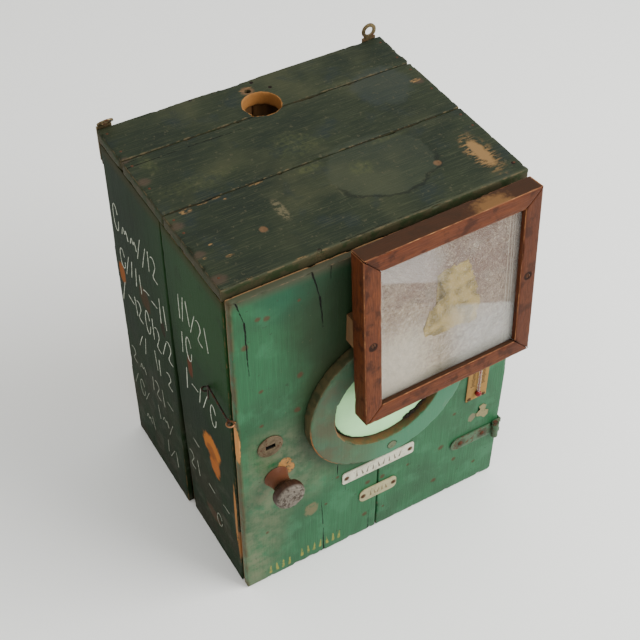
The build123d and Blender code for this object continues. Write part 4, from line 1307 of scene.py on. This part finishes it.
class NESTBOX_OT_window(bpy.types.Operator):
    """Worn window ring, its plugs, the pale panel and the old putty round it"""
    bl_idname = "nestbox.window"
    bl_label = "Window"

    def execute(self, context):
        material = ring_paint()
        worn_wood("window_ring", material, "door", "green_paint_door", RING_GRID, "Z",
                  gaps=ring_gaps, chips=0.8, seed=50)
        plug = Finish("plug wood", (0.12, 0.14, 0.08), 0.7)
        plug.layer(plug.flakes(2.5, 0.5, 0.1), 0.7, (0.06, 0.07, 0.04), 0.8, -0.15)
        finish_nodes(plug.close(), "ring_plugs")
        finish_nodes(mint_paint(), "window_panel")
        putty = Finish("old putty", (0.012, 0.009, 0.006), 0.8)
        putty.layer(putty.flakes(1.5, 0.5, 0.1), 0.6, (0.06, 0.04, 0.02), 0.9, -0.2)
        crumbs = link_piece("putty_crumbs", bpy.data.meshes.new("putty_crumbs"))
        middle = Vector((RING_MIDDLE.x, PANEL_LOW.y - 0.0003, RING_MIDDLE.z))
        use_tree(crumbs, "putty crumbs", Middle=middle, Radius=PANEL_RADIUS - 0.0012,
                 Start=math.radians(-68), Sweep=math.radians(62), Count=90, Lump=0.0022, Seed=wear().seed,
                 Material=putty.material)
        dress(crumbs, putty.close(), "door", "dark_wood")
        return {"FINISHED"}


def torn_outline(rng, points, step, depth):
    """Points along a closed outline with small random tears."""
    result = []
    for start, end in zip(points, points[1:] + points[:1]):
        start, end = Vector(start), Vector(end)
        count = max(2, round((end - start).length / step))
        for index in range(count):
            spot = start.lerp(end, index / count)
            result.append(spot + Vector((rng.uniform(-depth, depth), rng.uniform(-depth, depth))))
    return result


def sheet_piece(label, outline, place, thick):
    """A thin closed sheet with the outline (x, z), put in place by a function of (x, y, z)."""
    form = bmesh.new()
    front = [form.verts.new(place(x, 0.0, z)) for x, z in outline]
    back = [form.verts.new(place(x, thick, z)) for x, z in outline]
    form.faces.new(front)
    form.faces.new(list(reversed(back)))
    for index in range(len(outline)):
        following = (index + 1) % len(outline)
        form.faces.new((front[following], front[index], back[index], back[following]))
    bmesh.ops.triangulate(form, faces=form.faces)
    return linked_form(form, label)


class NESTBOX_OT_picture(bpy.types.Operator):
    """Worn mitred frame, dusty glass, mottled backing and the torn paper behind the glass"""
    bl_idname = "nestbox.picture"
    bl_label = "Picture frame"

    def execute(self, context):
        turn = Matrix.Translation(FRAME_MIDDLE) @ FRAME_TURN.to_4x4() @ Matrix.Translation(-FRAME_MIDDLE)
        rail = frame_wood("frame rail wood", "X")
        stile = frame_wood("frame stile wood", "Z")
        for index, name in enumerate(FRAME_MEMBERS):
            level = name.endswith("rail")
            worn_wood(name, rail if level else stile, "door", "mahogany", wear().fine_grid,
                      "X" if level else "Z", turn=turn, chips=0.55, seed=60 + index)
        finish_nodes(pane_glass(), "frame_glass")
        finish_nodes(backing_paper(), "frame_backing")
        finish_nodes(bare_wood("spacer wood", "Z", (0.16, 0.08, 0.035)), "frame_left_spacer",
                     "frame_right_spacer")
        corners = ((-12, 40), (3, 42), (12, 40), (20, 45), (25, 32), (31, 9), (34, -5), (36, -15), (32, -34),
                   (15, -31), (1, -30), (-15, -30), (-27, -24), (-22, -8), (-15, 5), (-3, 12), (-4, 22),
                   (-10, 30))
        outline = torn_outline(random.Random(wear().seed), [Vector(corner) * MM for corner in corners],
                               0.003, 0.0021)
        depth = -0.0019
        paper = sheet_piece("torn_paper", outline,
                            lambda x, y, z: FRAME_MIDDLE + FRAME_TURN @ Vector((x, y + depth, z)), 0.0002)
        dress(paper, torn_paper(), "door", "card", smooth=False)
        return {"FINISHED"}


class NESTBOX_OT_knob(bpy.types.Operator):
    """Turned knob with a cracked, greyed face, its spindle and the latch bar inside"""
    bl_idname = "nestbox.knob"
    bl_label = "Knob"

    def execute(self, context):
        low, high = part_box("knob")
        middle = (low + high) / 2
        outline = [(0, 0), (12.0, 0), (12.2, 1.7), (10.9, 4.8), (9.6, 9.8), (10.2, 14.6), (12.6, 17.7),
                   (15.2, 20.0), (16.0, 23.4), (15.6, 27.2), (14.2, 29.6), (12.0, 30.5), (8.0, 30.9),
                   (3.5, 31.0), (0, 31.0)]
        profile = [(radius * MM, forward * MM) for radius, forward in smooth_profile(outline, 5)]
        knob = lathe("turned_knob", profile, 112, middle, high.y)
        for vertex in knob.data.vertices:
            spot = vertex.co / MM
            outward = Vector((vertex.co.x - middle.x, 0.0, vertex.co.z - middle.z))
            wobble = noise.noise(spot / 7.0) * 0.00022
            ridge = noise.noise(Vector((spot.x / 1.1, spot.y / 6.0, spot.z / 1.1))) * 0.00016
            face = max(0.0, min(1.0, (low.y + 0.003 - vertex.co.y) / 0.002))
            turns = math.sin(outward.length / MM * 2.6) * 0.00012 * face
            if outward.length > 1e-6:
                vertex.co += outward.normalized() * (wobble - 0.0003)
            vertex.co.y += abs(wobble) + (abs(ridge) + turns + 0.00015) * face
        dress(knob, knob_wood(), "knob", "dark_wood", ["knob"])
        finish_nodes(old_metal("spindle iron", (0.1, 0.085, 0.07), 0.6), "knob_spindle", "latch_bar")
        return {"FINISHED"}


class NESTBOX_OT_lock(bpy.types.Operator):
    """Escutcheon, lock case and bolt"""
    bl_idname = "nestbox.lock"
    bl_label = "Lock"

    def execute(self, context):
        crisp_part("escutcheon", "escutcheon_plate", 0.00025,
                   old_metal("escutcheon brass", (0.17, 0.125, 0.075), 0.25, 0.55, 0.85, 4.0), "door",
                   "brass")
        crisp_part("lock_case", "lock_case_shell", 0.0006, old_metal("lock iron", (0.1, 0.09, 0.08), 0.5),
                   "door", "iron")
        crisp_part("lock_bolt", "lock_bolt_bar", 0.0004, old_metal("bolt brass", (0.32, 0.22, 0.09), 0.1),
                   "lock_bolt", "brass")
        return {"FINISHED"}


class NESTBOX_OT_hinges(bpy.types.Operator):
    """Painted strap hinges and their pins"""
    bl_idname = "nestbox.hinges"
    bl_label = "Hinges"

    def execute(self, context):
        material = hinge_paint()
        for place in ("upper", "lower"):
            for part, body in (("hinge_strap", "door"), ("hinge_side_leaf", "case")):
                name = place + "_" + part
                crisp_part(name, name + "_iron", 0.0003, material, body, "painted_iron")
        finish_nodes(old_metal("hinge pin iron", (0.08, 0.075, 0.06), 0.7), "upper_hinge_pin",
                     "lower_hinge_pin")
        return {"FINISHED"}


class NESTBOX_OT_plates(bpy.types.Operator):
    """Two pale plates with worn dashes"""
    bl_idname = "nestbox.plates"
    bl_label = "Plates"

    def execute(self, context):
        upper = plate_enamel("upper plate enamel", (0.6, 0.57, 0.44))
        stamped(upper, 0.5, 108.6, 9, 6.4, 7.0, (0.1, 0.08, 0.06), (-37.1, 38.1))
        lower = plate_enamel("lower plate enamel", (0.37, 0.33, 0.18))
        stamped(lower, 1.7, 65.5, 5, 4.6, 6.0, (0.14, 0.1, 0.05), (-16.5, 20.3))
        for name, finish in (("upper_plate", upper), ("lower_plate", lower)):
            crisp_part(name, name + "_enamel", 0.0003, finish.close(), "door", "white_plate")
        return {"FINISHED"}


class NESTBOX_OT_thermometer(bpy.types.Operator):
    """Yellowed card with a scale, glass tube, bulb and column of red spirit"""
    bl_idname = "nestbox.thermometer"
    bl_label = "Thermometer"

    def execute(self, context):
        worn_wood("thermometer_card", card_paper(), "door", "card", CARD_GRID, "Z", label="thermometer_board",
                  chips=0.5, seed=70)
        finish_nodes(clear_glass(), "thermometer_tube")
        red = Finish("red spirit", (0.22, 0.012, 0.014), 0.15)
        red.layer(red.blotch(0.45, 0.65, 2.5, 3.0), 0.5, (0.09, 0.006, 0.008), 0.25)
        red_material = red.close()
        finish_nodes(red_material, "thermometer_bulb")
        low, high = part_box("thermometer_tube")
        middle = (low + high) / 2
        column = lathe("spirit_column", [(0, 0), (0.0007, 0), (0.0007, 0.052), (0.0004, 0.053), (0, 0.053)],
                       12, Vector((0.0, 0.0, 0.0)), 0.0)
        lying = Matrix.Rotation(-math.pi / 2, 4, "X")
        column.data.transform(Matrix.Translation((middle.x, middle.y, low.z)) @ lying)
        dress(column, red_material, "door", "red_spirit")
        ink = Finish("scale ink", (0.035, 0.025, 0.018), 0.8)
        ink.layer(ink.flakes(1.5, 0.5, 0.1), 0.6, (0.12, 0.09, 0.05), 0.8)
        ink_material = ink.close()
        card_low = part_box("thermometer_card")[0]
        for side, offset in (("left", -0.0062), ("right", 0.0062)):
            marks = link_piece("scale_marks_" + side, bpy.data.meshes.new("scale_marks"))
            start = Vector((middle.x + offset, card_low.y + 0.0001, card_low.z + 0.022))
            use_tree(marks, "scale marks", Start=start, Step=0.0021, Count=44, Length=0.003,
                     Width=0.00045, Material=ink_material)
            dress(marks, ink_material, "door", "card", smooth=False)
        return {"FINISHED"}


def screw_head(label, radius, height, slot):
    """A domed head with a slot across it, closed underneath, one unit high in metres."""
    rings, steps = 9, 40
    form = bmesh.new()
    rows = []
    for ring in range(rings + 1):
        share = ring / rings
        row = []
        for step in range(steps):
            angle = math.tau * step / steps
            x, y = radius * share * math.cos(angle), radius * share * math.sin(angle)
            z = height * (1.0 - share ** 2.4)
            if slot and abs(x) < slot and share < 0.97:
                z = min(z, height * 0.35)
            row.append(form.verts.new((x, y, z)))
        rows.append(row)
    rows.append([form.verts.new((vertex.co.x, vertex.co.y, -height * 0.3)) for vertex in rows[-1]])
    rows.append([form.verts.new((0.0, 0.0, -height * 0.3)) for _ in range(steps)])
    join_rings(form, rows, 1e-7)
    return linked_form(form, label)


def set_heads(label, places, head, material, body, slot, replaced=(), seed=0):
    """Heads at (place, facing, size) as one piece on one body."""
    mesh = bpy.data.meshes.new(label)
    mesh.from_pydata([place for place, _, _ in places], [], [])
    mesh.attributes.new("facing", "FLOAT_VECTOR", "POINT")
    mesh.attributes.new("size", "FLOAT", "POINT")
    for index, (_, direction, scale) in enumerate(places):
        mesh.attributes["facing"].data[index].vector = direction
        mesh.attributes["size"].data[index].value = scale
    piece = link_piece(label, mesh)
    use_tree(piece, "set heads", Head=head, Seed=seed, Material=material)
    return dress(piece, material, body, slot, replaced)


def middle_of(low, high, **at):
    """The middle of a box, moved to the x, y or z given."""
    middle = Vector((a + b) / 2 for a, b in zip(low, high))
    for axis, value in at.items():
        setattr(middle, axis, value)
    return middle


def solid_corners(name):
    """Low and high corners of each separate solid in a CAD node."""
    form = bmesh.new()
    form.from_mesh(NODES[name].data)
    bmesh.ops.remove_doubles(form, verts=form.verts, dist=SAME_POINT)
    seen, result = set(), []
    for start in form.verts:
        if start in seen:
            continue
        stack, island = [start], []
        seen.add(start)
        while stack:
            vertex = stack.pop()
            island.append(vertex.co.copy())
            for edge in vertex.link_edges:
                other = edge.other_vert(vertex)
                if other not in seen:
                    seen.add(other)
                    stack.append(other)
        low = Vector(min(spot[i] for spot in island) for i in range(3))
        high = Vector(max(spot[i] for spot in island) for i in range(3))
        result.append((low, high))
    form.free()
    return result


class NESTBOX_OT_fasteners(bpy.types.Operator):
    """Slotted screws and rusty nail heads, set where the frame has them"""
    bl_idname = "nestbox.fasteners"
    bl_label = "Screws and nails"

    def execute(self, context):
        rusty = old_metal("rusty iron", (0.09, 0.075, 0.06), 0.85, 0.6, 0.8, 2.5)
        dull = old_metal("dull brass", (0.12, 0.075, 0.04), 0.6, 0.5, 0.9, 2.0)
        forward = Vector((0.0, -1.0, 0.0))
        large = screw_head("large head", 0.0029, 0.0014, 0.00045)
        small = screw_head("small head", 0.0022, 0.0009, 0.00035)
        flat = screw_head("nail head", 0.0017, 0.0005, 0.0)
        for label, name, sunk, head, material, slot, seed in (
                ("hinge_screws", "hinge_strap_screws", 0.0014, large, rusty, "iron", 3),
                ("fitting_screws", "small_screws", 0.0009, small, dull, "brass", 4)):
            places = [(middle_of(low, high, y=low.y + sunk), forward, 1.0)
                      for low, high in solid_corners(name)]
            set_heads(label, places, head, material, "door", slot, [name], seed)
        outward = FRAME_TURN @ forward
        places = [(middle_of(low, high, y=low.y + 0.0015, z=high.z - 0.0033), outward, 1.12)
                  for low, high in solid_corners("frame_screws")]
        set_heads("frame_screw_heads", places, large, rusty, "door", "iron", ["frame_screws"], 5)
        places = []
        for low, high in solid_corners("case_screws"):
            if (low.x + high.x) / 2 > -LEFT_FACE - 0.011 and high.x - low.x > high.y - low.y:
                places.append((middle_of(low, high, x=high.x - 0.0015), Vector((1.0, 0.0, 0.0)), 1.0))
            else:
                places.append((middle_of(low, high, y=high.y - 0.0015), Vector((0.0, 1.0, 0.0)), 1.0))
        set_heads("case_screw_heads", places, large, rusty, "case", "iron", ["case_screws"], 6)
        places = [(middle_of(low, high, z=high.z - 0.0006), Vector((0.0, 0.0, 1.0)), 0.9)
                  for low, high in solid_corners("case_nails")]
        set_heads("nail_heads", places, flat, rusty, "case", "iron", ["case_nails"], 7)
        low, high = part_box("escutcheon")
        middle = (low + high) / 2
        pins = [(Vector((middle.x + side * 0.0098, low.y + 0.0002, middle.z)), forward, 0.55)
                for side in (-1, 1)]
        set_heads("escutcheon_pins", pins, small, rusty, "door", "brass", (), 8)
        for head in (large, small, flat):
            bpy.data.objects.remove(head)
        return {"FINISHED"}


class NESTBOX_OT_hooks(bpy.types.Operator):
    """Side hook, its two eyes and the hanger plates"""
    bl_idname = "nestbox.hooks"
    bl_label = "Hooks and hangers"

    def execute(self, context):
        wire = old_metal("hook wire", (0.045, 0.035, 0.028), 0.45, 0.5, 0.8, 2.5)
        copper = old_metal("eye brass", (0.36, 0.17, 0.08), 0.2, 0.4, 1.0, 2.5)
        finish_nodes(wire, "side_hook", "wall_eye")
        finish_nodes(copper, "door_eye")
        brass = old_metal("hanger brass", (0.2, 0.15, 0.075), 0.3, 0.45, 0.9, 3.0)
        for side in ("left", "right"):
            name = "hanger_" + side
            crisp_part(name, name + "_brass", 0.0003, brass, "case", "brass")
        return {"FINISHED"}


def side_face_x(y, z):
    """Where the left side's outer face is: the rear board leans out towards the floor."""
    rear_low, rear_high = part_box("left_rear_board")
    if y < rear_low.y:
        return LEFT_FACE
    bow = LEFT_FACE - rear_low.x
    return LEFT_FACE - bow * (1.0 - z / rear_high.z)


CHALK_ROWS = ((322, 34, 108, -90), (274, 32, 104, -50), (226, 31, 108, -92), (180, 27, 106, -36),
              (134, 26, 104, -40), (92, 24, 106, -94), (52, 22, 104, -84))  # height, tall, start y, end y


def chalk_strokes(rng):
    """Rows of tally strokes, hooks and loops as lists of (y, z) in millimetres."""
    strokes = []
    for row, (height, tall, start, end) in enumerate(CHALK_ROWS):
        y = start
        faint = row > 2
        while y > end:
            kind = rng.choice(("bar", "bar", "hook", "loop", "dash", "slash", "wave"))
            if faint and rng.random() < 0.45:
                y -= rng.uniform(10, 20)
                continue
            half = tall * rng.uniform(0.38, 0.52)
            z = height + rng.uniform(-3, 3)
            lean = rng.uniform(-2.5, 2.5)
            if kind == "bar":
                strokes.append([(y + lean, z - half), (y, z), (y - lean, z + half)])
                y -= rng.uniform(7, 11)
            elif kind == "slash":
                strokes.append([(y + 5, z - half), (y, z), (y - 6, z + half)])
                y -= rng.uniform(9, 13)
            elif kind == "dash":
                strokes.append([(y, z + lean), (y - 6, z + 0.5), (y - 13, z - lean * 0.4)])
                y -= rng.uniform(17, 21)
            elif kind == "hook":
                strokes.append([(y + 4, z + half * 0.7), (y - 1, z + half), (y - 6, z + half * 0.4),
                                (y - 2, z - half * 0.2), (y + 4, z - half), (y - 7, z - half)])
                y -= rng.uniform(14, 18)
            elif kind == "loop":
                angles = np.linspace(0.4, math.tau - 0.1, 14)
                strokes.append([(y - 5 - 5.5 * math.cos(a), z + half * math.sin(a)) for a in angles])
                y -= rng.uniform(15, 19)
            else:
                strokes.append([(y - step * 3.4,
                                 z + (half * 0.5 if step % 2 else -half * 0.5)) for step in range(5)])
                y -= rng.uniform(17, 21)
    return strokes


class NESTBOX_OT_chalk(bpy.types.Operator):
    """Chalk tally marks on the left side"""
    bl_idname = "nestbox.chalk"
    bl_label = "Chalk marks"

    def execute(self, context):
        rng = random.Random(wear().seed + 4)
        gap = (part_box("left_front_board")[1].y / MM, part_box("left_rear_board")[0].y / MM)
        curve = bpy.data.curves.new("chalk strokes", "CURVE")
        curve.dimensions = "3D"
        curve.resolution_u = 6
        for stroke in chalk_strokes(rng):
            if any(gap[0] - 11 < y < gap[1] + 1 for y, _ in stroke):
                continue
            spline = curve.splines.new("NURBS")
            spline.points.add(len(stroke) - 1)
            for point, (y, z) in zip(spline.points, stroke):
                face = side_face_x(y * MM, z * MM)
                point.co = (face + 0.00034, y * MM, z * MM, 1.0)
            spline.order_u = 3
            spline.use_endpoint_u = True
        chalk = Finish("chalk", paint().chalk, 0.95)
        chalk.layer(chalk.flakes(1.6, 0.5, 0.14), 0.7, (0.13, 0.14, 0.1), 0.9)
        low_down = chalk.fade(chalk.z, 215.0, 120.0)
        chalk.layer(low_down, 0.6, (0.085, 0.09, 0.065), 0.9)
        material = chalk.close()
        piece = bpy.data.objects.new("chalk_marks", curve)
        context.scene.collection.objects.link(piece)
        add_tree(piece, "chalk strokes", Thickness=0.00066, Patch=0.009, Material=material)
        graph = context.evaluated_depsgraph_get()
        mesh = bpy.data.meshes.new_from_object(piece.evaluated_get(graph), depsgraph=graph)
        bpy.data.objects.remove(piece)
        dress(link_piece("chalk_marks", mesh), material, "case", "white_plate")
        return {"FINISHED"}


class NESTBOX_OT_scrap(bpy.types.Operator):
    """Scrap of old paper stuck to the door under the thermometer"""
    bl_idname = "nestbox.scrap"
    bl_label = "Paper scrap"

    def execute(self, context):
        corners = ((-5, 9), (1, 11), (4, 6), (3, 1), (8, -3), (7, -9), (3, -12), (-1, -8), (-6, -6), (-8, -1),
                   (-4, 3))
        outline = torn_outline(random.Random(wear().seed + 9), [Vector(corner) * MM for corner in corners],
                               0.0018, 0.0007)
        middle = Vector((0.1285, DOOR_FRONT - 0.0005, 0.1135))
        scrap = sheet_piece("paper_scrap", outline, lambda x, y, z: middle + Vector((x, y, z)), 0.0006)
        paper = Finish("scrap paper", (0.23, 0.2, 0.1), 0.8)
        paper.layer(paper.flakes(3.0, 0.52, 0.1), 0.7, (0.13, 0.12, 0.065), 0.85, -0.1)
        dress(scrap, paper.close(), "door", "card", smooth=False)
        return {"FINISHED"}


OPERATORS = (NESTBOX_OT_stage, NESTBOX_OT_top, NESTBOX_OT_sides, NESTBOX_OT_inside, NESTBOX_OT_door,
             NESTBOX_OT_window, NESTBOX_OT_picture, NESTBOX_OT_knob, NESTBOX_OT_lock, NESTBOX_OT_hinges,
             NESTBOX_OT_plates, NESTBOX_OT_thermometer, NESTBOX_OT_fasteners, NESTBOX_OT_hooks,
             NESTBOX_OT_chalk, NESTBOX_OT_scrap)


class NESTBOX_PT_panel(bpy.types.Panel):
    """Settings and pieces of the nesting box"""
    bl_idname = "NESTBOX_PT_panel"
    bl_label = "Nesting Box"
    bl_space_type = "VIEW_3D"
    bl_region_type = "UI"
    bl_category = "Nesting Box"

    def draw(self, context):
        scene = context.scene
        for heading, settings in (("Wear", scene.nest_wear), ("Colours", scene.nest_paint),
                                  ("Stage", scene.nest_stage)):
            box = self.layout.box()
            box.label(text=heading)
            for name in settings.__annotations__:
                box.prop(settings, name)
        for operator in OPERATORS:
            self.layout.operator(operator.bl_idname)


CLASSES = (NestBoxWear, NestBoxPaint, NestBoxStage, *OPERATORS, NESTBOX_PT_panel)
SETTINGS = {"nest_wear": NestBoxWear, "nest_paint": NestBoxPaint, "nest_stage": NestBoxStage}


def register():
    """Add the settings, the operators and the panel."""
    for kind in CLASSES:
        bpy.utils.register_class(kind)
    for name, kind in SETTINGS.items():
        setattr(bpy.types.Scene, name, PointerProperty(type=kind))


def unregister():
    """Take them away again."""
    for name in SETTINGS:
        delattr(bpy.types.Scene, name)
    for kind in reversed(CLASSES):
        bpy.utils.unregister_class(kind)


def main():
    """Build everything in order."""
    register()
    for operator in OPERATORS:
        module, name = operator.bl_idname.split(".")
        getattr(getattr(bpy.ops, module), name)()


if __name__ == "__main__":
    main()
